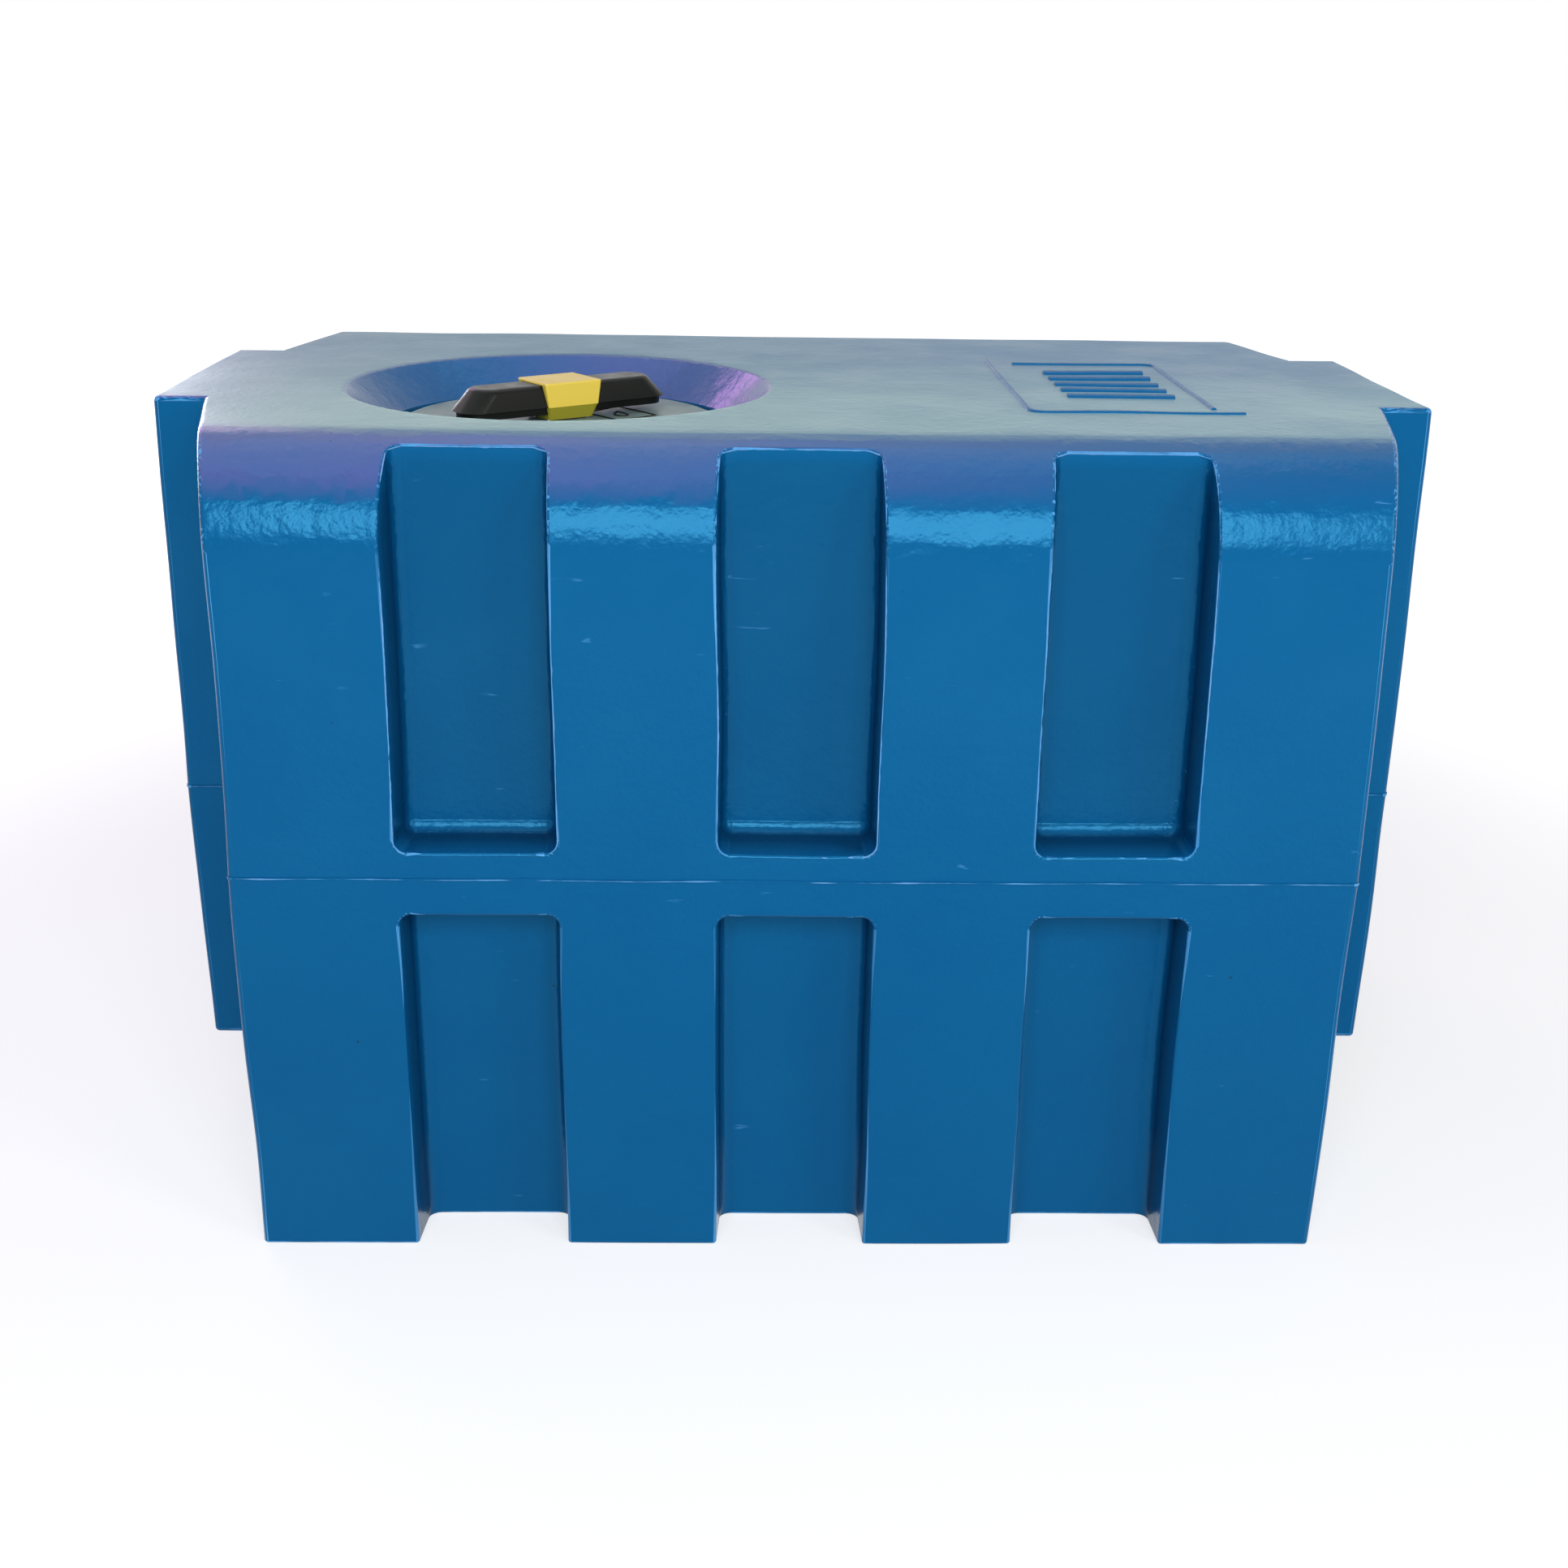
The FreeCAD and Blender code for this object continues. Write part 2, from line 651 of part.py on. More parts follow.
def make_handle_screws():
    """Screws from below through the lid and the cradle into the bar, with hexagon sockets."""
    head_top_z = lid_under_z - washer_thickness
    head_low_z = head_top_z - screw_head_height
    screw = drum(screw_radius, head_top_z, head_top_z + screw_length).fuse(
        drum(screw_head_radius, head_low_z, head_top_z))
    screw = screw.makeFillet(screw_head_rounding, circles_at(screw, screw_head_radius, head_low_z))
    socket = hexagon(2 * screw_socket_radius, head_low_z, head_low_z + screw_socket_depth)
    return place_on_handle(Part.makeCompound(at_screws(screw.cut(socket))))


def make_handle_washers():
    washer = ring(screw_head_radius + cover_clearance, screw_radius + cover_clearance,
                  lid_under_z - washer_thickness, lid_under_z)
    return place_on_handle(Part.makeCompound(at_screws(washer)))


# Drain

def hexagon(across_flats, low, high):
    radius = across_flats / math.sqrt(3)
    corners = [point(radius * math.cos(side * math.pi / 3), radius * math.sin(side * math.pi / 3), low)
               for side in range(6)]
    return Part.Face(closed_wire(corners)).extrude(point(0, 0, high - low))


def make_drain_insert():
    """Brass insert with a collar round its middle, moulded into the boss."""
    bore = drum(drain_thread_radius, -insert_length - cut_overshoot, cut_overshoot)
    return along_drain(insert_form().cut(bore))


def make_drain_plug():
    """Hollow threaded plug with a flange and a hexagon head, bevelled at the head's corners."""
    flange_top = drain_seal_thickness + plug_flange_thickness
    half_flats = plug_head_across_flats / 2
    bevel_slope = (plug_head_across_flats / math.sqrt(3) - half_flats) / plug_corner_drop
    head = hexagon(plug_head_across_flats, flange_top, flange_top + plug_head_height)
    head = head.common(Part.makeCone(half_flats + plug_head_height * bevel_slope, half_flats,
                                     plug_head_height, point(0, 0, flange_top)))
    flange = drum(plug_flange_radius, drain_seal_thickness, flange_top)
    stem_radius = drain_thread_radius - thread_clearance
    stem = drum(stem_radius, -plug_stem_length, drain_seal_thickness)
    stem = stem.makeChamfer(plug_stem_chamfer, circles_at(stem, stem_radius, -plug_stem_length))
    bore = drum(plug_bore_radius, -plug_stem_length - cut_overshoot, -plug_stem_length + plug_bore_depth)
    return along_drain(flange.fuse([head, stem]).removeSplitter().cut(bore))


def make_drain_plug_seal():
    seal = ring(plug_flange_radius - seal_inset, drain_thread_radius + cover_clearance,
                0, drain_seal_thickness)
    return along_drain(seal)


nodes = {
    "tank_shell": make_tank_shell,
    "lid_body": make_lid_body,
    "lid_seal": make_lid_seal,
    "handle_bar": make_handle_bar,
    "hub_cap": make_hub_cap,
    "vent_body": make_vent_body,
    "vent_seal": make_vent_seal,
    "vent_nut": make_vent_nut,
    "vent_screen": make_vent_screen,
    "vent_cage": make_vent_cage,
    "vent_float": make_vent_float,
    "handle_screws": make_handle_screws,
    "handle_washers": make_handle_washers,
    "drain_insert": make_drain_insert,
    "drain_plug": make_drain_plug,
    "drain_plug_seal": make_drain_plug_seal,
}

os.makedirs("parts", exist_ok=True)
for name, make in nodes.items():
    shape = make()
    shape.exportStep("parts/" + name + ".step")
    print(name, "solids", len(shape.Solids), "valid", shape.isValid(), "cubic mm", round(shape.Volume))
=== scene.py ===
import logging
import math
from dataclasses import dataclass, field, replace
from enum import Enum
from functools import cached_property
from typing import Callable, ClassVar, Iterable, Mapping, Sequence

import bmesh
import bpy
import numpy as np
from mathutils import Matrix, Vector


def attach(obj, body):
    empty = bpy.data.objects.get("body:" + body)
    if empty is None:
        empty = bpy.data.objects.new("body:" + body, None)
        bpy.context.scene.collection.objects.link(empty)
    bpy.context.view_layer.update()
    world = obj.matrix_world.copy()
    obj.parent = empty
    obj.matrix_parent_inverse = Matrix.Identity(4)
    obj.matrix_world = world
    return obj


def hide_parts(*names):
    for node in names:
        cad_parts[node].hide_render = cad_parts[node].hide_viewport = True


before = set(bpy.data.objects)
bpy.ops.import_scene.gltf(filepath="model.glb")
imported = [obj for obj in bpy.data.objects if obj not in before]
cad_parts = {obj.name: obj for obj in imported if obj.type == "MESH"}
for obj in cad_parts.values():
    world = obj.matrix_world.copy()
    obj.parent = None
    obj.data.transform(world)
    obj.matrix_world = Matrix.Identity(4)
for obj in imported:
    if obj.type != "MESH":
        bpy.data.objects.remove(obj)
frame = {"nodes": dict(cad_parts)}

# A rotomoulded drinking water tank with a screw lid in a sunken well.
# Metres. X runs along the tank, Y from the front to the back, Z up, origin on the ground.

LOG = logging.getLogger("water_tank")
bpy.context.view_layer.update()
MM = 0.001
WHITE = (1.0, 1.0, 1.0, 1.0)
NOISE_MIDDLE = (0.3, 0.7)
JOIN_WITHIN = 1e-6
SHARP_ABOVE = math.radians(32.0)
Colour = tuple[float, float, float, float]
Point = tuple[float, float, float]
Path = tuple[Sequence[Point], bool]
Span = tuple[float, float]
Sizes = Mapping[str, float | int]
Tree, Node, Socket = bpy.types.NodeTree, bpy.types.Node, bpy.types.NodeSocket
Mesh, Material, BMesh = bpy.types.Mesh, bpy.types.Material, bmesh.types.BMesh


def linear(code: str) -> Colour:
    """Turn an sRGB hex colour into linear light.

    Args:
        code: six hex digits with a leading #.

    Returns:
        Red, green, blue and an alpha of 1.
    """
    parts = [int(code[start:start + 2], 16) / 255 for start in (1, 3, 5)]
    red, green, blue = [part / 12.92 if part <= 0.04045 else ((part + 0.055) / 1.055) ** 2.4 for part in parts]
    return (red, green, blue, 1.0)


def add_node(tree: Tree, kind: str, settings: Mapping[str, object] | None = None,
             inputs: Mapping[str | int, object] | None = None) -> Node:
    """Add one node with its settings, values and links.

    Args:
        tree: the shader or geometry tree that gets the node.
        kind: Blender's name for the node type.
        settings: properties of the node itself.
        inputs: values, or sockets to link from, by input name or number.

    Returns:
        The new node.
    """
    node = tree.nodes.new(kind)
    for name, value in (settings or {}).items():
        setattr(node, name, value)
    for key, value in (inputs or {}).items():
        if isinstance(value, Socket):
            tree.links.new(value, node.inputs[key])
        else:
            node.inputs[key].default_value = value
    return node


def put(name: str, data: bpy.types.ID, turn: Matrix | None = None) -> bpy.types.Object:
    """Make an object from its data and link it into the scene."""
    item = bpy.data.objects.new(name, data)
    if turn is not None:
        item.matrix_world = turn
    bpy.context.scene.collection.objects.link(item)
    return item


def empty_tree(owner: Material | bpy.types.World) -> Tree:
    """The node tree of a material or a world, with no node in it."""
    owner.use_nodes = True
    owner.node_tree.nodes.clear()
    return owner.node_tree


# Finishes

@dataclass(frozen=True)
class Finish:
    """A material: its name, the record's slot, and the even values of its surface."""

    name: str
    slot: str
    colour: str
    roughness: float
    ior: float = 1.5
    metallic: float = 0.0
    tint: str = "#ffffff"
    sheen: float = 0.0
    sheen_tint: str = "#ffffff"
    sheen_roughness: float = 0.45

    @cached_property
    def material(self) -> Material:
        """The material with its patterns, built once."""
        material = bpy.data.materials.new(self.name)
        tree = empty_tree(material)
        values: dict[str | int, object] = {
            "Base Color": linear(self.colour), "Roughness": self.roughness, "Metallic": self.metallic,
            "Sheen Weight": self.sheen, "Sheen Tint": linear(self.sheen_tint),
            "Sheen Roughness": self.sheen_roughness}
        if not self.metallic:
            values |= {"IOR": self.ior, "Specular Tint": linear(self.tint)}
        shader = add_node(tree, "ShaderNodeBsdfPrincipled", inputs=values)
        add_node(tree, "ShaderNodeOutputMaterial", inputs={"Surface": shader.outputs["BSDF"]})
        coords = add_node(tree, "ShaderNodeTexCoord")
        self.pattern(tree, shader, coords)
        return material

    def pattern(self, tree: Tree, shader: Node, coords: Node) -> None:
        """Add the colour, roughness and relief of the surface."""
        raise NotImplementedError


def ranged(tree: Tree, value: Socket, low: float, high: float,
           out_low: float = 0.0, out_high: float = 1.0) -> Socket:
    """Spread a pattern's values from low to high over those from out_low to out_high, with soft ends."""
    node = add_node(tree, "ShaderNodeMapRange", {"interpolation_type": "SMOOTHSTEP"},
                    {"Value": value, "From Min": low, "From Max": high, "To Min": out_low, "To Max": out_high})
    return node.outputs["Result"]


def blended(tree: Tree, share: object, first: object, second: object) -> Socket:
    """Mix two colours by the share of the second, each given as itself or as a socket."""
    node = add_node(tree, "ShaderNodeMix", {"data_type": "RGBA", "clamp_factor": True},
                    {0: share, 6: first, 7: second})
    return node.outputs[2]


def maths(tree: Tree, operation: str, *values: object) -> Socket:
    """Put numbers or sockets through one math node."""
    return add_node(tree, "ShaderNodeMath", {"operation": operation}, dict(enumerate(values))).outputs[0]


def product(tree: Tree, first: object, second: object) -> Socket:
    """Multiply two values, each a number or a socket."""
    return maths(tree, "MULTIPLY", first, second)


def axes(tree: Tree, vector: Socket) -> bpy.types.NodeOutputs:
    """The X, Y and Z of a vector."""
    return add_node(tree, "ShaderNodeSeparateXYZ", inputs={"Vector": vector}).outputs


def stretched(tree: Tree, place: Socket, **values: Point) -> Socket:
    """Coordinates turned and scaled by a mapping node's values, for a pattern drawn out one way."""
    return add_node(tree, "ShaderNodeMapping", inputs={"Vector": place, **values}).outputs["Vector"]


def noise(tree: Tree, place: Socket, size: float, detail: float, **values: float) -> Socket:
    """Noise whose features are size metres across, with the node's other values by name."""
    return add_node(tree, "ShaderNodeTexNoise", inputs={
        "Vector": place, "Scale": 1.0 / size, "Detail": detail, **values}).outputs["Fac"]


def attribute(tree: Tree, name: str) -> Socket:
    """A value that the mesh carries by name."""
    return add_node(tree, "ShaderNodeAttribute", {"attribute_name": name}).outputs["Fac"]


def background_rays(tree: Tree) -> Socket:
    """One for the rays that see the background: the camera's, a gloss's and a clear body's."""
    rays = add_node(tree, "ShaderNodeLightPath").outputs
    clear = maths(tree, "MAXIMUM", rays["Is Camera Ray"], rays["Is Transmission Ray"])
    return maths(tree, "MAXIMUM", clear, rays["Is Glossy Ray"])


def cover(tree: Tree, shader: Node, colour: Socket, roughness: Socket,
          layers: Sequence[tuple[Socket, float]]) -> None:
    """Give a surface its colour, its roughness and several layers of relief.

    Args:
        tree: the material's tree.
        shader: the surface.
        colour: the pattern of its colour.
        roughness: the pattern of its roughness.
        layers: patterns of relief with their heights in metres.
    """
    tree.links.new(colour, shader.inputs["Base Color"])
    tree.links.new(roughness, shader.inputs["Roughness"])
    normal = None
    for height, depth in layers:
        inputs: dict[str | int, object] = {"Height": height, "Distance": depth, "Strength": 1.0}
        if normal is not None:
            inputs["Normal"] = normal
        normal = add_node(tree, "ShaderNodeBump", inputs=inputs).outputs["Normal"]
    tree.links.new(normal, shader.inputs["Normal"])


@dataclass(frozen=True)
class RotomouldedPolyethylene(Finish):
    """Polyethylene powder fused against a rough mould: satin and waxy, with reflections painted into its colour on
    the upper faces.
    """

    mottle_colour: str = "#005184"
    mottle_size: float = 0.16
    # Painted reflection on the upper round: its colour, its strength and where it lies
    round_reflection_colour: str = "#7c569e"
    reflection_strength: float = 0.50
    reflection_facing: Span = (0.44, 0.68)
    reflection_heights: Span = (0.78, 0.86)
    reflection_reach: Span = (-0.7, 0.7)
    reflection_sides: Span = (-0.3, 0.5)
    # Colour of the painted reflection on the top, the level faces it covers, their roughness and their sheen
    top_reflection_colour: str = "#456c58"
    level_facing: Span = (0.95, 0.999)
    level_roughness: float = 0.16
    haze: float = 0.50
    haze_reach: Span = (-0.42, 0.25)
    haze_behind: float = 0.22
    streak_size: float = 0.05
    # Paler blue on the outward fillets: wear, and a painted highlight on them
    wear_and_highlight_colour: str = "#5ba3de"
    wear_and_highlight_shares: Span = (0.15, 0.8)
    scuff_size: float = 0.007
    scuff_share: float = 0.3
    scuff_depth: float = 0.05 * MM
    grain_size: float = 0.0026
    grain_height: float = 0.08 * MM
    ripple_size: float = 0.026
    ripple_height: float = 1.6 * MM
    ripple_on_flats: float = 0.55
    chatter_size: float = 0.008
    chatter_height: float = 0.3 * MM
    grit_colour: str = "#12384f"
    grit_spacing: float = 0.055
    grit_height: float = 0.2 * MM
    # Painted shade in the pockets: its colour, and its strength on the faces that look out and on those that turn
    # sideways
    pocket_shade_colour: str = "#002a4a"
    floor_shade: float = 0.32
    floor_shade_low: float = 0.3
    floor_shade_heights: Span = (0.40, 0.62)
    side_shade: float = 0.80

    def pattern(self, tree: Tree, shader: Node, coords: Node) -> None:
        """Mottled blue, a painted reflection on upward faces, painted shade in the pockets, edges painted paler as
        wear and as a highlight, scuffs, grain, ripple and pits.
        """
        place = coords.outputs["Object"]
        mottle = noise(tree, place, self.mottle_size, 4.0, Roughness=0.6)
        streak = noise(tree, stretched(tree, place, Scale=(1.0, 1.0, 0.16)), self.streak_size, 3.0)
        facing, spot = axes(tree, coords.outputs["Normal"]), axes(tree, place)
        # Painted reflection, purple on the upper round and grey-green on the top, stronger towards the left and on
        # faces turned left; and a sheen on the top, stronger towards the front
        upward = ranged(tree, facing["Z"], *self.reflection_facing, 0.0, self.reflection_strength)
        level = ranged(tree, facing["Z"], *self.level_facing)
        high = ranged(tree, spot["Z"], *self.reflection_heights)
        reflecting_side = product(tree, ranged(tree, spot["X"], *self.reflection_reach, 1.0, 0.06),
                               ranged(tree, facing["X"], *self.reflection_sides, 1.0, 0.2))
        cloudy = ranged(tree, mottle, 0.3, 0.65, 0.85, 1.0)
        reflection_share = product(tree, product(tree, upward, high), product(tree, cloudy, reflecting_side))
        painted_reflection = blended(tree, level, linear(self.round_reflection_colour), linear(self.top_reflection_colour))
        hazy = product(tree, ranged(tree, spot["Y"], *self.haze_reach, self.haze, self.haze * self.haze_behind),
                       product(tree, level, high))
        tree.links.new(hazy, shader.inputs["Sheen Weight"])
        # Painted shade in the pockets: strongest on the faces that turn sideways, weaker on the faces that look
        # out, and there darker higher up
        outward = maths(tree, "ABSOLUTE", facing["Y"])
        floor_shade_share = ranged(tree, spot["Z"], *self.floor_shade_heights, self.floor_shade * self.floor_shade_low,
                         self.floor_shade)
        painted_shade = product(tree, attribute(tree, TankShell.recess_name),
                        ranged(tree, outward, 0.25, 0.9, self.side_shade, floor_shade_share))
        # Edges painted paler as wear and as a painted highlight, scuffs and grit
        drawn_out = stretched(tree, place, Rotation=(0.5, 0.9, 0.35), Scale=(0.12, 1.0, 1.0))
        scratch = noise(tree, drawn_out, self.scuff_size, 2.0, Distortion=0.6)
        scratched = product(tree, ranged(tree, scratch, 0.70, 0.76), ranged(tree, streak, 0.56, 0.68))
        worn_and_highlit = product(tree, attribute(tree, TankShell.wear_and_highlight_name),
                       ranged(tree, streak, 0.36, 0.62, *self.wear_and_highlight_shares))
        grit = add_node(tree, "ShaderNodeTexVoronoi", {"feature": "F1"}, {
            "Vector": place, "Scale": 1.0 / self.grit_spacing}).outputs
        chosen = add_node(tree, "ShaderNodeSeparateColor", inputs={"Color": grit["Color"]}).outputs["Red"]
        gritty = product(tree, ranged(tree, grit["Distance"], 0.022, 0.04, 1.0, 0.0),
                         ranged(tree, chosen, 0.72, 0.74))
        # The coats that lie on the blue, from below to above: mottle, painted reflection, painted shade, paler
        # edges of wear and highlight, scuffs and grit
        wear_and_highlight_blue = linear(self.wear_and_highlight_colour)
        base: object = linear(self.colour)
        for share, coat in ((ranged(tree, mottle, *NOISE_MIDDLE), linear(self.mottle_colour)), (reflection_share, painted_reflection),
                            (painted_shade, linear(self.pocket_shade_colour)), (worn_and_highlit, wear_and_highlight_blue),
                            (product(tree, scratched, self.scuff_share), wear_and_highlight_blue),
                            (gritty, linear(self.grit_colour))):
            base = blended(tree, share, base, coat)
        satin = ranged(tree, mottle, 0.3, 0.72, self.roughness - 0.03, self.roughness + 0.05)
        matt = maths(tree, "MULTIPLY_ADD", level, self.level_roughness, satin)
        # Relief, from the coarse ripple to the fine grain
        ripple = noise(tree, place, self.ripple_size, 3.0, Roughness=0.62)
        chatter = noise(tree, place, self.chatter_size, 2.0, Roughness=0.55)
        grain = noise(tree, place, self.grain_size, 2.0)
        on_bend = product(tree, ranged(tree, facing["Z"], 0.02, 0.15, self.ripple_on_flats, 1.0),
                          ranged(tree, facing["Z"], 0.85, 0.98, 1.0, self.ripple_on_flats))
        cover(tree, shader, base, matt, [
            (product(tree, ripple, on_bend), self.ripple_height), (chatter, self.chatter_height),
            (grain, self.grain_height), (gritty, self.grit_height), (scratched, -self.scuff_depth)])


@dataclass(frozen=True)
class MouldedPlastic(Finish):
    """Injection moulded plastic: even colour, fine spark-eroded grain, dust, which on the black lid is also a
    painted reflection of the sky, and handling marks.
    """

    dust_and_reflection_colour: str = "#8f938f"
    dust_and_reflection: float = 0.1
    dust_and_reflection_on_sides: float = 0.15
    grain_size: float = 0.0012
    flow_size: float = 0.03
    grain_height: float = 0.01 * MM

    def pattern(self, tree: Tree, shader: Node, coords: Node) -> None:
        """Flow marks, a pale coat of dust on upward faces, which on the black lid is also a painted reflection of
        the sky, rubbed roughness and fine grain.
        """
        place = coords.outputs["Object"]
        flow = noise(tree, place, self.flow_size, 4.0, Roughness=0.6)
        upward = axes(tree, coords.outputs["Normal"])["Z"]
        # Dust on upward faces, and on the black lid a painted reflection of the sky
        dust_and_reflection_share = product(tree, ranged(tree, upward, 0.3, 1.0, self.dust_and_reflection * self.dust_and_reflection_on_sides, self.dust_and_reflection),
                        ranged(tree, flow, *NOISE_MIDDLE, 0.8, 1.0))
        rubbed = ranged(tree, flow, *NOISE_MIDDLE, self.roughness - 0.05, self.roughness + 0.07)
        grain = noise(tree, place, self.grain_size, 1.0)
        cover(tree, shader, blended(tree, dust_and_reflection_share, linear(self.colour), linear(self.dust_and_reflection_colour)), rubbed,
              [(flow, self.grain_height * 4), (grain, self.grain_height)])


@dataclass(frozen=True)
class BrushedMetal(Finish):
    """Turned or brushed metal: fine lines one way and a little tarnish."""

    tarnish_colour: str = "#8f8a80"
    patch_size: float = 1 / 90
    line_size: float = 0.0004
    line_height: float = 0.01 * MM

    def pattern(self, tree: Tree, shader: Node, coords: Node) -> None:
        """Tarnish patches and fine turning lines."""
        place = coords.outputs["Object"]
        patches = noise(tree, place, self.patch_size, 3.0)
        lines = noise(tree, stretched(tree, place, Scale=(0.05, 0.05, 1.0)), self.line_size, 1.0)
        tarnish = ranged(tree, patches, 0.4, 0.7, 0.0, 0.5)
        turned = ranged(tree, lines, *NOISE_MIDDLE, self.roughness - 0.06, self.roughness + 0.1)
        cover(tree, shader, blended(tree, tarnish, linear(self.colour), linear(self.tarnish_colour)), turned,
              [(lines, self.line_height)])


class Finishes:
    """Every finish on the tank."""

    def __init__(self) -> None:
        """Describe the materials by their real-world values."""
        # Blue rotomoulded polyethylene: a waxy satin that turns pale at a glancing angle.
        self.polyethylene = RotomouldedPolyethylene(
            "rotomoulded_polyethylene", "tank_polyethylene", "#005486", 0.22, tint="#68d6ff",
            sheen=0.03, sheen_tint="#cbe6c8")
        # The same blue on the raised marks, with little painted reflection and little sheen.
        self.rubbed = replace(self.polyethylene, name="relief_polyethylene", roughness=0.30, reflection_strength=0.05, haze=0.06)
        # The same blue where a knife has trimmed it: paler and matt; the paler blue is also a painted highlight
        # along the pocket mouths and the parting line.
        self.trimmed_and_highlit = replace(self.polyethylene, name="trimmed_and_highlit_polyethylene", colour="#468fcb", roughness=0.42,
                               ior=1.43, tint="#86d8ff", mottle_colour="#76a6d8")
        # Black polypropylene: deep black with a soft gloss that picks up the sky; its thick pale grey-green on
        # upward faces is dust and a painted reflection of the sky.
        self.black = MouldedPlastic("moulded_black_polypropylene", "black_polypropylene", "#121311", 0.32,
                                    ior=1.42, dust_and_reflection=0.62, dust_and_reflection_colour="#a3bbae")
        # Glossier black for the handle bar, rubbed smooth by hands.
        self.handle_black = MouldedPlastic("rubbed_black_polypropylene", "black_polypropylene", "#0a0b09", 0.34,
                                           ior=1.32, tint="#c8ccc8", dust_and_reflection=0.03)
        # Yellow polypropylene: opaque and warm, with a satin skin.
        self.yellow = MouldedPlastic("moulded_yellow_polypropylene", "yellow_plastic", "#e3c54a", 0.36,
                                     dust_and_reflection=0.04, dust_and_reflection_colour="#b9a56a")
        # The same yellow, darker and a little green: painted shade on the cradle under the saddle.
        self.shaded_yellow = MouldedPlastic("shaded_yellow_polypropylene", "yellow_plastic", "#989023", 0.42,
                                            dust_and_reflection=0.05, dust_and_reflection_colour="#8f8a50")
        # EPDM rubber: nearly matt and dark grey-black.
        self.rubber = MouldedPlastic("moulded_epdm_rubber", "seal_rubber", "#1a1a1a", 0.7, dust_and_reflection=0.12,
                                     grain_height=0.05 * MM)
        # Natural polypropylene: milky white.
        self.white = MouldedPlastic("natural_polypropylene", "white_plastic", "#d9d9d2", 0.42, dust_and_reflection=0.05)
        # Stainless steel: pale grey metal with fine turning lines.
        self.stainless = BrushedMetal("turned_stainless_steel", "stainless", "#c3c2bd", 0.26, metallic=1.0)
        # Brass: warm yellow metal, a little dull.
        self.brass = BrushedMetal("machined_brass", "brass", "#cfa75a", 0.28, metallic=1.0,
                                  tarnish_colour="#8d6a37")


class Part(Enum):
    """The CAD nodes that keep their shape: each one's name, body and finish."""

    LID_BODY = ("lid_body", "lid", "black")
    LID_SEAL = ("lid_seal", "lid_ring", "rubber")
    HANDLE_BAR = ("handle_bar", "lid", "handle_black")
    HUB_CAP = ("hub_cap", "lid", "yellow")
    HANDLE_SCREWS = ("handle_screws", "lid", "stainless")
    HANDLE_WASHERS = ("handle_washers", "lid", "stainless")
    VENT_BODY = ("vent_body", "lid", "shaded_yellow")
    VENT_SEAL = ("vent_seal", "vent_ring", "rubber")
    VENT_NUT = ("vent_nut", "lid", "black")
    VENT_SCREEN = ("vent_screen", "lid", "stainless")
    VENT_CAGE = ("vent_cage", "lid", "white")
    VENT_FLOAT = ("vent_float", "splash_float", "white")
    DRAIN_INSERT = ("drain_insert", "tank", "brass")
    DRAIN_PLUG = ("drain_plug", "plug", "black")
    DRAIN_PLUG_SEAL = ("drain_plug_seal", "drain_ring", "rubber")


# Mesh tools

def merged_copy(node: str) -> BMesh:
    """Copy a CAD node's loose triangles into one joined mesh, which the caller frees."""
    source = frame["nodes"][node].data
    places = np.empty(len(source.vertices) * 3)
    source.vertices.foreach_get("co", places)
    mesh = bmesh.new()
    corners = [mesh.verts.new(place) for place in places.reshape(-1, 3)]
    for polygon in source.polygons:
        mesh.faces.new([corners[index] for index in polygon.vertices])
    bmesh.ops.remove_doubles(mesh, verts=mesh.verts, dist=JOIN_WITHIN)
    bmesh.ops.dissolve_degenerate(mesh, edges=mesh.edges, dist=JOIN_WITHIN)
    return mesh


def finish_object(mesh: BMesh | Mesh, name: str, body: str, finish: Finish,
                  replaced: Sequence[str] = ()) -> None:
    """Turn a mesh into a named piece that rides on a body.

    Args:
        mesh: the piece, with its place in its corners.
        name: the piece's name.
        body: the CAD body that carries it.
        finish: the finish whose material it gets.
        replaced: CAD nodes that it stands for.
    """
    if isinstance(mesh, BMesh):
        for edge in mesh.edges:
            edge.smooth = len(edge.link_faces) == 2 and edge.calc_face_angle(math.pi) < SHARP_ABOVE
        for face in mesh.faces:
            face.smooth = True
        data = bpy.data.meshes.new(name)
        mesh.to_mesh(data)
        mesh.free()
    else:
        data = mesh
        data.name = name
        data.polygons.foreach_set("use_smooth", [True] * len(data.polygons))
    data.materials.clear()
    data.materials.append(finish.material)
    piece = put(name, data)
    piece.modifiers.new("even_normals", "WEIGHTED_NORMAL").keep_sharp = True
    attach(piece, body)
    if replaced:
        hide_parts(*replaced)
    LOG.info("%s: %d faces on %s", name, len(data.polygons), body)


def dress(finishes: Finishes, *parts: Part) -> None:
    """Stand joined, evenly shaded copies in for CAD nodes."""
    for part in parts:
        node, body, finish = part.value
        finish_object(merged_copy(node), node + "_piece", body, getattr(finishes, finish), [node])


def new_tree(name: str, sizes: Sizes) -> Tree:
    """Start a Geometry Nodes tree with named inputs.

    Args:
        name: the tree's name.
        sizes: starting value of each input; a whole number makes a whole-number input.

    Returns:
        The tree, with a group input and no other node.
    """
    tree = bpy.data.node_groups.new(name, "GeometryNodeTree")
    tree.interface.new_socket("Geometry", in_out="INPUT", socket_type="NodeSocketGeometry")
    tree.interface.new_socket("Geometry", in_out="OUTPUT", socket_type="NodeSocketGeometry")
    for label, value in sizes.items():
        kind = "NodeSocketInt" if isinstance(value, int) else "NodeSocketFloat"
        tree.interface.new_socket(label, in_out="INPUT", socket_type=kind).default_value = value
    add_node(tree, "NodeGroupInput")
    return tree


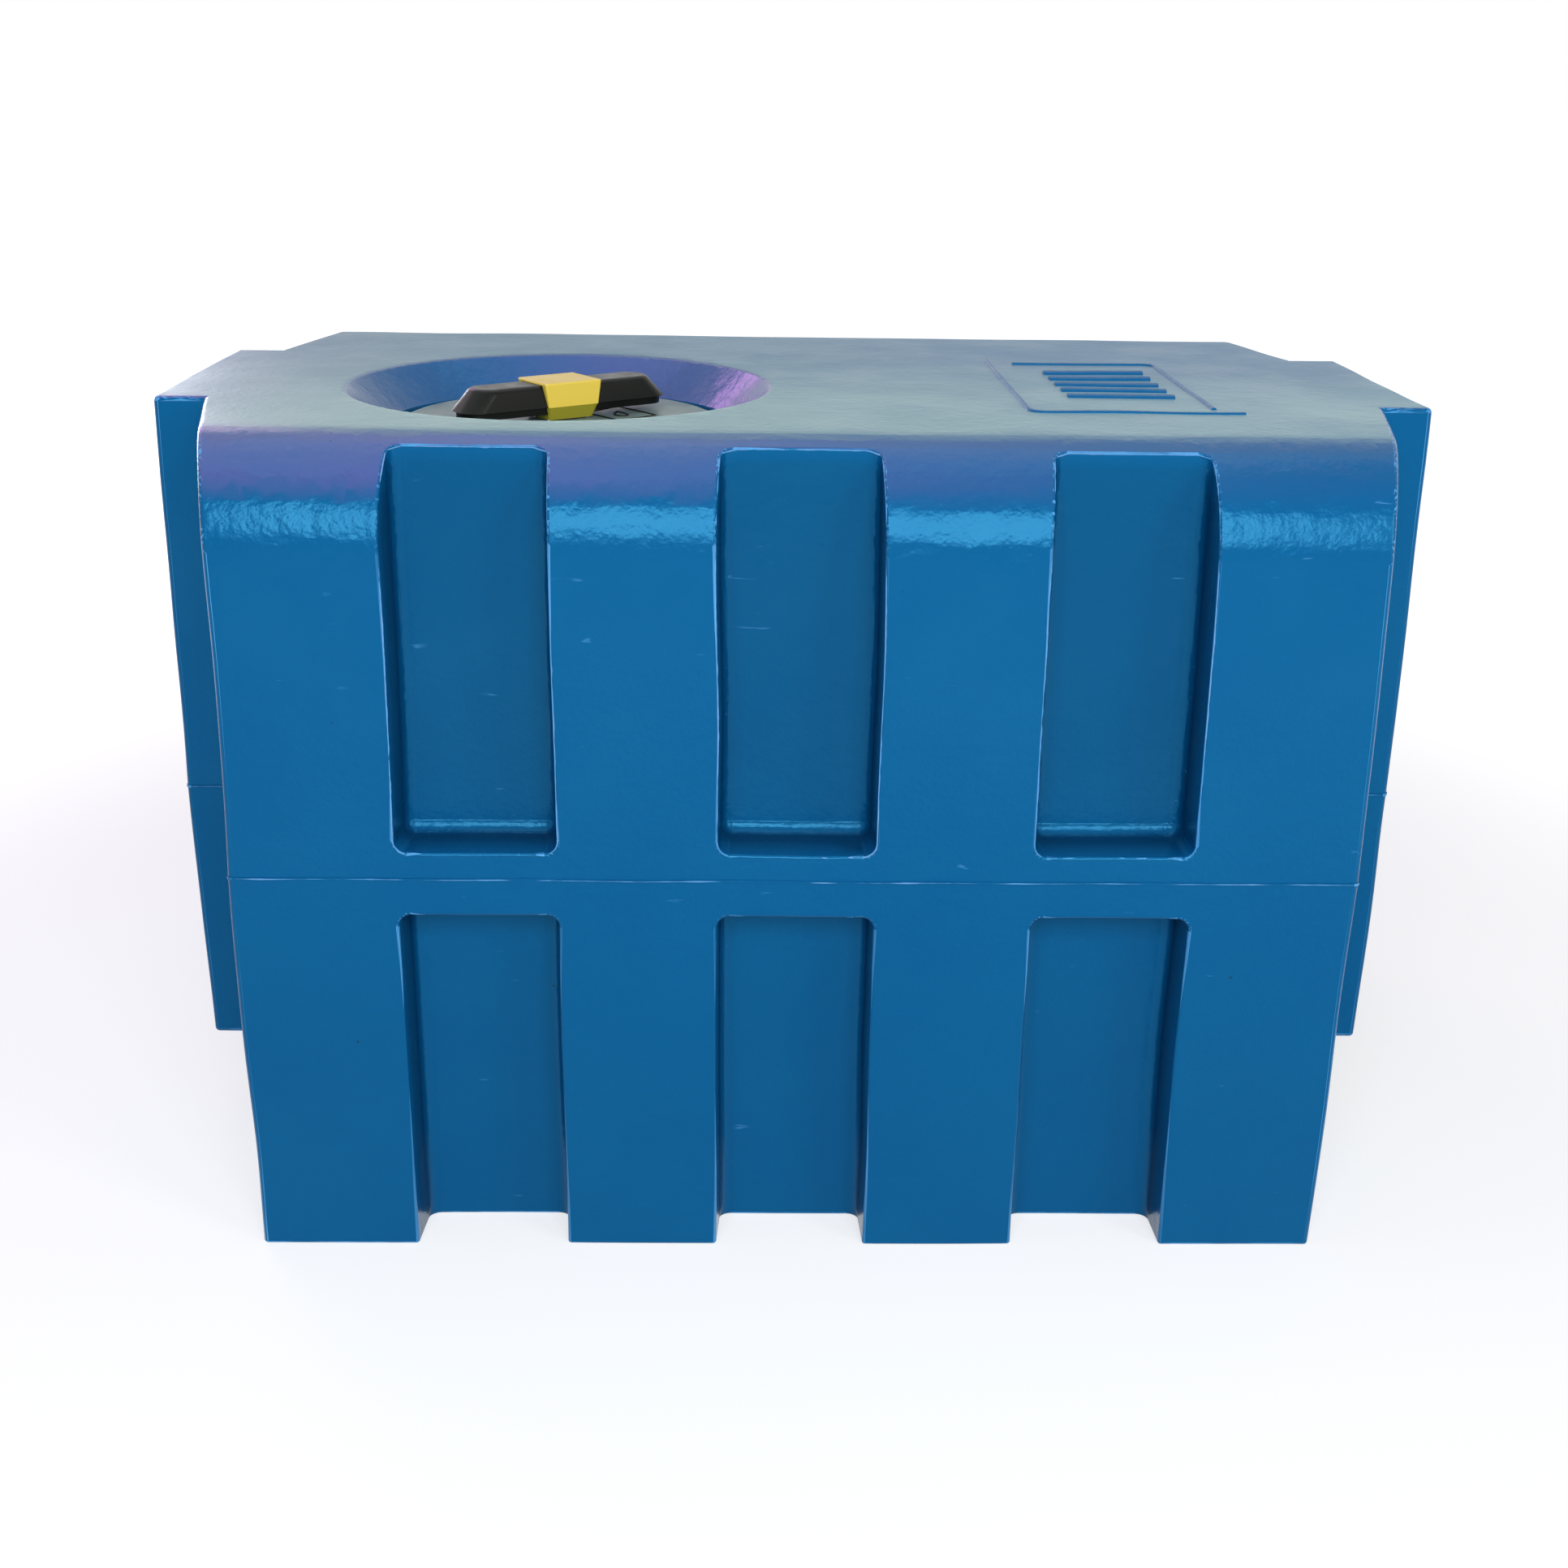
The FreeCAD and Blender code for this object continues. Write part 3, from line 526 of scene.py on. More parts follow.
def end_tree(tree: Tree, geometry: Socket, material: Material) -> None:
    """Close a tree with real geometry in its material."""
    real = add_node(tree, "GeometryNodeRealizeInstances", inputs={"Geometry": geometry})
    dressed = add_node(tree, "GeometryNodeSetMaterial", inputs={
        "Geometry": real.outputs["Geometry"], "Material": material})
    add_node(tree, "NodeGroupOutput", inputs={"Geometry": dressed.outputs["Geometry"]})


def run_tree(tree: Tree, carrier: Mesh, sizes: Sizes) -> Mesh:
    """Grow a plain mesh from a tree.

    Args:
        tree: the Geometry Nodes tree.
        carrier: the mesh it starts from.
        sizes: values of its named inputs.

    Returns:
        The result as a plain mesh.
    """
    holder = put("holder", carrier)
    modifier = holder.modifiers.new("grow", "NODES")
    modifier.node_group = tree
    identifiers = {item.name: item.identifier for item in tree.interface.items_tree
                   if item.item_type == "SOCKET" and item.in_out == "INPUT"}
    for label, value in sizes.items():
        modifier[identifiers[label]] = value
    bpy.context.view_layer.update()
    graph = bpy.context.evaluated_depsgraph_get()
    grown = bpy.data.meshes.new_from_object(holder.evaluated_get(graph), depsgraph=graph)
    holder.modifiers.remove(modifier)
    bpy.data.objects.remove(holder)
    return grown


def path_mesh(paths: Iterable[Path]) -> Mesh:
    """Lines for a tree to sweep along, from each path's points and whether it closes on itself."""
    points: list[Point] = []
    edges: list[tuple[int, int]] = []
    for line, closed in paths:
        start = len(points)
        points.extend(line)
        edges.extend((start + index, start + index + 1) for index in range(len(line) - 1))
        if closed:
            edges.append((start + len(line) - 1, start))
    mesh = bpy.data.meshes.new("path")
    mesh.from_pydata([tuple(place) for place in points], edges, [])
    return mesh


def rounded_corner(before: Span, corner: Span, after: Span, radius: float, steps: int) -> list[Span]:
    """Points that round one corner of a level line."""
    middle = Vector(corner)
    back, ahead = (Vector(before) - middle).normalized(), (Vector(after) - middle).normalized()
    shares = [step / steps for step in range(steps + 1)]
    return [(middle + back * radius * (1 - share) ** 2 + ahead * radius * share ** 2)[:] for share in shares]


def rounded_path(corners: Sequence[Span], radius: float, height: float, steps: int = 5) -> list[Point]:
    """A closed level outline with its corners rounded."""
    following = [*corners[1:], corners[0]]
    return [(x, y, height) for trio in zip([corners[-1], *corners], corners, following)
            for x, y in rounded_corner(*trio, radius, steps)]


@dataclass(frozen=True)
class BeadSize:
    """Sizes of a swept bead in metres, and how uneven a hand or a mould left it."""

    radius: float = 0.002
    step: float = 0.005
    unevenness: float = 0.0
    wander: float = 0.0
    pattern_size: float = 0.03
    seed: int = 1

    def inputs(self) -> Sizes:
        """The tree's named inputs with their values."""
        return {"Radius": self.radius, "Step": self.step, "Unevenness": self.unevenness, "Wander": self.wander,
                "Pattern Size": self.pattern_size, "Seed": self.seed}


class SweptBead:
    """A tree that sweeps a round bead along paths, with a hand-made unevenness."""

    def __init__(self, name: str, material: Material, sides: int = 8) -> None:
        """Build the tree.

        Args:
            name: the tree's name.
            material: the bead's material.
            sides: corners of the bead's section.
        """
        self.tree = tree = new_tree(name, BeadSize().inputs())
        given = tree.nodes[0].outputs
        curve = add_node(tree, "GeometryNodeMeshToCurve", inputs={"Mesh": given["Geometry"]})
        even = add_node(tree, "GeometryNodeResampleCurve", {"mode": "LENGTH"}, {
            "Curve": curve.outputs["Curve"], "Length": given["Step"]})
        place = add_node(tree, "GeometryNodeInputPosition")
        pattern = add_node(tree, "ShaderNodeTexNoise", {"noise_dimensions": "4D"}, {
            "Vector": place.outputs["Position"], "W": given["Seed"],
            "Scale": maths(tree, "DIVIDE", 1.0, given["Pattern Size"]), "Detail": 3.0}).outputs
        centred = add_node(tree, "ShaderNodeVectorMath", {"operation": "SUBTRACT"}, {
            0: pattern["Color"], 1: (0.5, 0.5, 0.5)})
        offset = add_node(tree, "ShaderNodeVectorMath", {"operation": "SCALE"}, {
            0: centred.outputs[0], "Scale": given["Wander"]})
        moved = add_node(tree, "GeometryNodeSetPosition", inputs={
            "Geometry": even.outputs["Curve"], "Offset": offset.outputs[0]})
        swing = maths(tree, "SUBTRACT", pattern["Fac"], 0.5)
        share = maths(tree, "MULTIPLY_ADD", swing, given["Unevenness"], 1.0)
        swept = sweep(tree, moved.outputs["Geometry"], sides, maths(tree, "MULTIPLY", share, given["Radius"]))
        end_tree(tree, swept, material)

    def grow(self, paths: Iterable[Path], size: BeadSize, change: Callable | None = None) -> Mesh:
        """Sweep the bead along some paths.

        Args:
            paths: each path's points, and whether it closes on itself.
            size: values of the tree's named inputs.
            change: moves an array of places, if the bead lies on a wavy wall.

        Returns:
            The bead as a plain mesh.
        """
        bead = run_tree(self.tree, path_mesh(paths), size.inputs())
        if change:
            places = np.empty(len(bead.vertices) * 3)
            bead.vertices.foreach_get("co", places)
            bead.vertices.foreach_set("co", change(places.reshape(-1, 3)).ravel())
            bead.update()
        return bead


def sweep(tree: Tree, curve: Socket, sides: int, size: Socket) -> Socket:
    """Sweep a round section along a curve inside a tree.

    Args:
        tree: the Geometry Nodes tree.
        curve: the curve to follow.
        sides: corners of the section.
        size: the section's radius at each point of the curve.

    Returns:
        The socket with the swept mesh.
    """
    section = add_node(tree, "GeometryNodeCurvePrimitiveCircle", inputs={"Resolution": sides, "Radius": 1.0})
    sized = add_node(tree, "GeometryNodeSetCurveRadius", inputs={"Curve": curve, "Radius": size})
    radius = add_node(tree, "GeometryNodeInputRadius")
    return add_node(tree, "GeometryNodeCurveToMesh", inputs={
        "Curve": sized.outputs["Curve"], "Profile Curve": section.outputs["Curve"],
        "Scale": radius.outputs[0], "Fill Caps": True}).outputs["Mesh"]


def share_along(value: float | np.ndarray, span: Span) -> float | np.ndarray:
    """How far a value lies along a span, from 0 before its start to 1 past its end."""
    return np.clip((value - span[0]) / (span[1] - span[0]), 0.0, 1.0)


# Sub-assemblies

@dataclass
class TankShell:
    """The moulded body: slightly wavy walls, corners painted paler as wear and as a highlight, and the trimmed
    bead of the mould's parting line.
    """

    wear_and_highlight_name: ClassVar[str] = "edge_wear_and_highlight"
    recess_name: ClassVar[str] = "recess"

    finishes: Finishes
    half_length: float = 0.750
    half_depth: float = 0.500
    half_front: float = 0.625
    half_shoulder: float = 0.690
    half_band: float = 0.208
    height: float = 0.950
    parting_height: float = 0.472
    well_centre: Span = (-0.287, -0.075)
    well_calm: Span = (0.285, 0.42)
    well_low: float = 0.80
    drain_centre: Point = (0.690, 0.0, 0.062)
    drain_calm: Span = (0.05, 0.16)
    ground_calm: Span = (0.0, 0.16)
    grid_step: float = 0.034
    wave_height: float = 0.0011
    wave_lengths: tuple[float, ...] = (0.62, 0.41, 0.27, 0.19, 0.13)
    waves_each: int = 3
    wave_fall: float = 1.1
    wave_seed: int = 7
    fillet_strip: float = 0.0025
    round_radius: float = 0.115
    draft: float = math.tan(math.radians(0.5))
    pockets_reach: float = 0.46
    pockets_within: float = 0.42
    recess_depths: Span = (0.003, 0.018)
    least_turn: float = math.radians(2.5)
    most_turn: float = math.radians(32)
    along_round: float = 0.985
    flat_within: float = math.radians(0.15)
    flash_bend: float = 0.006
    flash: BeadSize = BeadSize(0.0013, 0.006, 1.2, 0.0014, 0.045, 11)
    slice_shift: float = 0.137
    waves: list[tuple[np.ndarray, float, np.ndarray]] = field(default_factory=list)

    def __post_init__(self) -> None:
        """Draw the waves of the wall once, from a fixed seed."""
        rng = np.random.default_rng(self.wave_seed)
        for length in self.wave_lengths:
            for _ in range(self.waves_each):
                direction = rng.normal(size=3)
                direction *= 2 * math.pi / length / np.linalg.norm(direction)
                push = rng.normal(size=3)
                push *= self.wave_height * (length / self.wave_lengths[0]) ** self.wave_fall / np.linalg.norm(push)
                self.waves.append((direction, rng.uniform(0, 2 * math.pi), push))

    def wavy(self, places: np.ndarray) -> np.ndarray:
        """Move rows of places by the shell's slight waviness, held still at the well, drain and ground."""
        moved = np.zeros_like(places)
        for direction, phase, push in self.waves:
            moved += np.sin(places @ direction + phase)[:, None] * push
        from_well = np.hypot(places[:, 0] - self.well_centre[0], places[:, 1] - self.well_centre[1])
        from_drain = np.linalg.norm(places - np.array(self.drain_centre), axis=1)
        share = np.where(places[:, 2] < self.well_low, 1.0, share_along(from_well, self.well_calm))
        moved *= (share * share_along(from_drain, self.drain_calm))[:, None]
        moved[:, 2] *= share_along(places[:, 2], self.ground_calm)
        return places + moved

    def mark_wear_and_highlight(self, mesh: BMesh) -> None:
        """Mark the narrow strips of the outside's outward-curving fillets, where a paler blue is painted as wear
        and as a highlight.
        """
        wear_and_highlight = mesh.faces.layers.float.new(self.wear_and_highlight_name)
        half_curved = []
        for face in mesh.faces:
            longest = max(edge.calc_length() for edge in face.edges)
            turns = [edge.calc_face_angle_signed(0.0) for edge in face.edges]
            middle = face.calc_center_median()
            from_axis = Vector((0.0, abs(middle.y) - self.half_depth + self.round_radius,
                                middle.z - self.height + self.round_radius))
            facing = Vector((0.0, abs(face.normal.y), face.normal.z))
            on_round = (min(from_axis.y, from_axis.z) > 0 and
                        facing.dot(from_axis.normalized()) > self.along_round)
            inside = face.normal.y * middle.y + face.normal.z * (middle.z - self.height / 2) < 0
            at_well = middle.z > self.well_low and math.dist(middle.xy, self.well_centre) < self.well_calm[0]
            hollow = min(turns) < -self.least_turn
            narrow = face.calc_area() < self.fillet_strip * longest
            curves = sum(self.least_turn < turn < self.most_turn for turn in turns)
            if narrow and curves and not (hollow or on_round or inside or at_well):
                face[wear_and_highlight] = float(curves > 1)
                if curves == 1:
                    half_curved.append(face)
        joined = [face for face in half_curved
                  if sum(near[wear_and_highlight] for edge in face.edges for near in edge.link_faces) > 1]
        for face in joined:
            face[wear_and_highlight] = 1.0

    def wall_depth(self, height: float) -> float:
        """Distance of the front wall's plane from the middle, at one height."""
        return self.half_depth - self.draft * abs(height - self.parting_height)

    def mark_recess(self, mesh: BMesh) -> None:
        """Mark the corners that lie behind the front and back walls, in the pockets, where shade is painted."""
        recess = mesh.verts.layers.float.new(self.recess_name)
        axis_z = self.height - self.round_radius
        for vertex in mesh.verts:
            x, y, z = vertex.co
            if abs(x) > self.pockets_reach or abs(y) < self.pockets_within:
                continue
            axis_y = self.wall_depth(z) - self.round_radius
            depth = self.round_radius - math.hypot(abs(y) - axis_y, max(z - axis_z, 0.0))
            vertex[recess] = share_along(depth, self.recess_depths)

    def slice_mesh(self, mesh: BMesh) -> None:
        """Cut the shell along a grid of planes so that its flat walls can wave."""
        lows = (-self.half_length, -self.half_depth, 0.0)
        highs = (self.half_length, self.half_depth, self.height)
        for normal, low, high in zip(Matrix.Identity(3), lows, highs):
            count = round((high - low) / self.grid_step)
            for index in range(1, count):
                place = normal * (low + (high - low) * (index + self.slice_shift) / count)
                bmesh.ops.bisect_plane(mesh, geom=[*mesh.verts, *mesh.edges, *mesh.faces], dist=JOIN_WITHIN,
                                       plane_co=place, plane_no=normal)

    def outline(self) -> list[Span]:
        """Corners of the body's plan, hull and band together, counter-clockwise."""
        front, shoulder, long_half = self.half_front, self.half_shoulder, self.half_length
        depth, band = self.half_depth, self.half_band
        right = [(front, -depth), (shoulder, -band), (long_half, -band), (long_half, band), (shoulder, band),
                 (front, depth)]
        return right + [(-x, -y) for x, y in right]

    def build(self) -> None:
        """Make the shell and its flash bead."""
        mesh = merged_copy("tank_shell")
        bmesh.ops.dissolve_limit(mesh, angle_limit=self.flat_within, verts=mesh.verts, edges=mesh.edges)
        self.mark_wear_and_highlight(mesh)
        self.slice_mesh(mesh)
        self.mark_recess(mesh)
        places = np.array([vertex.co for vertex in mesh.verts])
        for vertex, place in zip(mesh.verts, self.wavy(places)):
            vertex.co = place
        bmesh.ops.triangulate(mesh, faces=[face for face in mesh.faces if len(face.verts) > 4])
        finish_object(mesh, "moulded_shell", "tank", self.finishes.polyethylene, ["tank_shell"])
        # The parting bead's paler blue: trimmed plastic and a painted highlight
        trimmed_and_highlit = self.finishes.trimmed_and_highlit
        path = rounded_path(self.outline(), self.flash_bend, self.parting_height)
        flash = SweptBead("flash_bead", trimmed_and_highlit.material, sides=6).grow([(path, True)], self.flash, self.wavy)
        finish_object(flash, "parting_flash", "tank", trimmed_and_highlit)


@dataclass
class TopRelief:
    """Raised panel on the right of the top: two bent frame lines round a row of plain bars."""

    shell: TankShell
    low_x: float = 0.262
    high_x: float = 0.512
    low_y: float = -0.262
    high_y: float = 0.160
    frame_gap: float = 0.030
    bend: float = 0.020
    bend_steps: int = 6
    frame: BeadSize = BeadSize(0.0036, 0.006, 0.3, 0.0006, 0.05, 3)
    bar: BeadSize = BeadSize(0.0090, 0.004, 0.1, 0.0004, 0.05, 5)
    bar_sink: float = 0.4
    bar_length: float = 0.130
    bar_ends: float = 0.110
    bar_count: int = 5
    sink: float = 0.0010

    def frame_paths(self, level: float) -> list[Path]:
        """Two lines with one rounded corner each: left and front, then back and right."""
        left, right = self.low_x + self.frame_gap, self.high_x - self.frame_gap
        front, back = self.low_y + self.frame_gap, self.high_y - self.frame_gap
        outer = ((self.low_x, self.high_y), (self.low_x, self.low_y), (self.high_x, self.low_y))
        inner = ((left, back), (right, back), (right, front))
        lines = [(line[0], *rounded_corner(*line, self.bend, self.bend_steps), line[2]) for line in (outer, inner)]
        return [([(x, y, level) for x, y in line], False) for line in lines]

    def bar_paths(self, level: float) -> list[Path]:
        """Plain bars across the panel, one behind the other."""
        middle = (self.low_x + self.high_x) / 2
        ends = (middle - self.bar_length / 2, middle + self.bar_length / 2)
        rows = np.linspace(self.low_y + self.bar_ends, self.high_y - self.bar_ends, self.bar_count)
        return [([(x, y, level) for x in ends], False) for y in rows]

    def build(self) -> None:
        """Make the frame and the bars."""
        rubbed = self.shell.finishes.rubbed
        bead = SweptBead("relief_bead", rubbed.material, sides=12)
        level = self.shell.height - self.sink
        bar_level = level - self.bar.radius * self.bar_sink
        for name, paths, size in (("relief_frame", self.frame_paths(level), self.frame),
                                  ("relief_bars", self.bar_paths(bar_level), self.bar)):
            finish_object(bead.grow(paths, size, self.shell.wavy), name, "tank", rubbed)


@dataclass
class TrimmedHighlitLips:
    """Ragged lip round the mouth of each upper pocket, where it runs out through the rounded top edge; its paler
    blue also stands for a painted highlight along the mouth's edges.
    """

    shell: TankShell
    spacing: float = 0.352
    half_width: float = 0.088
    narrowing: float = math.tan(math.radians(3.5))
    back_y: float = 0.4350
    low: float = 0.502
    inset: float = 0.0013
    bend: float = 0.016
    rise_shares: tuple[float, ...] = (0.07, 0.3, 0.6, 0.9)
    round_steps: int = 16
    foot_steps: int = 6
    bead: BeadSize = BeadSize(0.0009, 0.003, 2.2, 0.0020, 0.018, 4)

    def half_mouth(self) -> list[Point]:
        """Half of a mouth from its foot up: distance from its middle, depth and height, just under the skin."""
        radius = self.shell.round_radius
        axis_z = self.shell.height - radius
        axis_y = self.shell.wall_depth(self.shell.height) - radius
        back = self.back_y - self.shell.draft * (self.shell.height - self.shell.parting_height)
        last = math.acos((back - axis_y) / radius)
        skin = radius - self.inset
        levels = [self.low + share * (axis_z - self.low) for share in self.rise_shares]
        turns = [last * step / self.round_steps for step in range(self.round_steps + 1)]
        places = [(self.shell.wall_depth(z) - self.inset, z) for z in levels]
        places += [(axis_y + skin * math.cos(turn), axis_z + skin * math.sin(turn)) for turn in turns]
        side = [(self.half_width - self.narrowing * (self.shell.half_depth - y) + self.inset, y, z)
                for y, z in places]
        across, y, _ = side[0]
        quarter = [math.pi / 2 * step / self.foot_steps for step in range(self.foot_steps + 1)]
        foot = [(across - self.bend * (1 - math.sin(turn)), y,
                 self.low - self.inset + self.bend * (1 - math.cos(turn))) for turn in quarter]
        across, y, z = side[-1]
        return [*foot, *side[:-1], (across - self.bend, y, z)]

    def build(self) -> None:
        """Run a thin uneven bead round each mouth, front and back."""
        half = self.half_mouth()
        paths = []
        for facing in (-1, 1):
            for column in (-1, 0, 1):
                middle = column * self.spacing
                line = [(middle - across, facing * y, z) for across, y, z in half]
                line += [(middle + across, facing * y, z) for across, y, z in reversed(half)]
                paths.append((line, True))
        # The lips' paler blue: trimmed plastic and a painted highlight
        trimmed_and_highlit = self.shell.finishes.trimmed_and_highlit
        lips = SweptBead("lip_bead", trimmed_and_highlit.material, sides=6).grow(paths, self.bead, self.shell.wavy)
        finish_object(lips, "pocket_lips", "tank", trimmed_and_highlit)


@dataclass
class RoundThread:
    """A coarse rounded thread, grown as a tapered helix."""

    material: Material
    radius: float
    low: float
    turns: float
    phase: float = 0.0
    section: float = 0.0032
    pitch: float = 0.012
    points_a_turn: int = 96
    end_share: float = 0.06
    end_size: float = 0.15
    sides: int = 8

    def grow(self, centre: Span) -> Mesh:
        """Make the thread round an upright axis: a spiral, thinner at its ends, swept with a round section."""
        sizes = {"Helix Radius": self.radius, "Turns": self.turns, "Rise": self.turns * self.pitch,
                 "Section": self.section}
        tree = new_tree("round_thread", sizes)
        given = tree.nodes[0].outputs
        spiral = add_node(tree, "GeometryNodeCurveSpiral", inputs={
            "Resolution": self.points_a_turn, "Rotations": given["Turns"], "Start Radius": given["Helix Radius"],
            "End Radius": given["Helix Radius"], "Height": given["Rise"]})
        along = add_node(tree, "GeometryNodeSplineParameter")
        peak = maths(tree, "PINGPONG", along.outputs["Factor"], 0.5)
        size = product(tree, ranged(tree, peak, 0.0, self.end_share, self.end_size, 1.0), given["Section"])
        end_tree(tree, sweep(tree, spiral.outputs["Curve"], self.sides, size), self.material)
        mesh = run_tree(tree, path_mesh([]), sizes)
        mesh.transform(Matrix.Translation((*centre, self.low)) @ Matrix.Rotation(self.phase, 4, "Z"))
        return mesh


@dataclass
class ScrewLid:
    """The lid, its seal and the threads that it and the neck carry."""

    finishes: Finishes
    centre: Span = (-0.287, -0.075)
    neck_radius: float = 0.188
    skirt_radius: float = 0.194
    thread_sunk: float = 0.0008
    neck_thread_low: float = 0.8680
    neck_turns: float = 2.0
    skirt_thread_low: float = 0.8760
    skirt_turns: float = 1.6
    skirt_phase: float = math.pi / 3
    face_height: float = 0.910
    icon_corners: tuple[Span, ...] = ((-0.259, -0.046), (-0.212, -0.101), (-0.170, -0.059), (-0.222, 0.004))
    icon_bend: float = 0.003
    icon_sink: float = 0.35
    icon: BeadSize = BeadSize(0.0020, 0.0015, 0.0, 0.0, 0.02, 1)
    drop_half_width: float = 0.0125
    drop_half_length: float = 0.017
    drop_steps: int = 36

    def drop_path(self, level: float) -> list[Point]:
        """A water drop inside the icon's diamond."""
        middle_x = sum(x for x, _ in self.icon_corners) / 4
        middle_y = sum(y for _, y in self.icon_corners) / 4
        path = []
        for step in range(self.drop_steps):
            angle = 2 * math.pi * step / self.drop_steps
            across = self.drop_half_width * math.sin(angle) * math.sin(angle / 2) ** 1.4
            along = self.drop_half_length * math.cos(angle)
            path.append((middle_x + across * 0.9 - along * 0.25, middle_y + along, level))
        return path

    def build(self) -> None:
        """Dress the lid and grow its threads and its icon."""
        dress(self.finishes, Part.LID_BODY, Part.LID_SEAL)
        blue, black, ink = self.finishes.polyethylene, self.finishes.black, self.finishes.handle_black
        neck = RoundThread(blue.material, self.neck_radius - self.thread_sunk, self.neck_thread_low,
                           self.neck_turns)
        finish_object(neck.grow(self.centre), "neck_thread", "tank", blue)
        skirt = RoundThread(black.material, self.skirt_radius + self.thread_sunk, self.skirt_thread_low,
                            self.skirt_turns, self.skirt_phase)
        finish_object(skirt.grow(self.centre), "skirt_thread", "lid", black)
        level = self.face_height - self.icon.radius * self.icon_sink
        paths = [(rounded_path(self.icon_corners, self.icon_bend, level), True), (self.drop_path(level), True)]
        finish_object(SweptBead("icon_bead", ink.material).grow(paths, self.icon), "lid_icon", "lid", ink)


@dataclass
class DressedAssembly:
    """A sub-assembly whose pieces keep their CAD shapes."""

    parts: ClassVar[tuple[Part, ...]] = ()
    finishes: Finishes

    def build(self) -> None:
        """Dress each piece."""
        dress(self.finishes, *self.parts)


class BarHandle(DressedAssembly):
    """The handle bar with its yellow saddle, and the screws that hold it."""

    parts = (Part.HANDLE_BAR, Part.HUB_CAP, Part.HANDLE_SCREWS, Part.HANDLE_WASHERS)


class SplashVent(DressedAssembly):
    """The vent through the lid: cradle and stem, nut, screen, cage and float."""

    parts = (Part.VENT_BODY, Part.VENT_SEAL, Part.VENT_NUT, Part.VENT_SCREEN, Part.VENT_CAGE, Part.VENT_FLOAT)


class DrainFitting(DressedAssembly):
    """The brass insert in the end wall with its plug and seal."""

    parts = (Part.DRAIN_INSERT, Part.DRAIN_PLUG, Part.DRAIN_PLUG_SEAL)


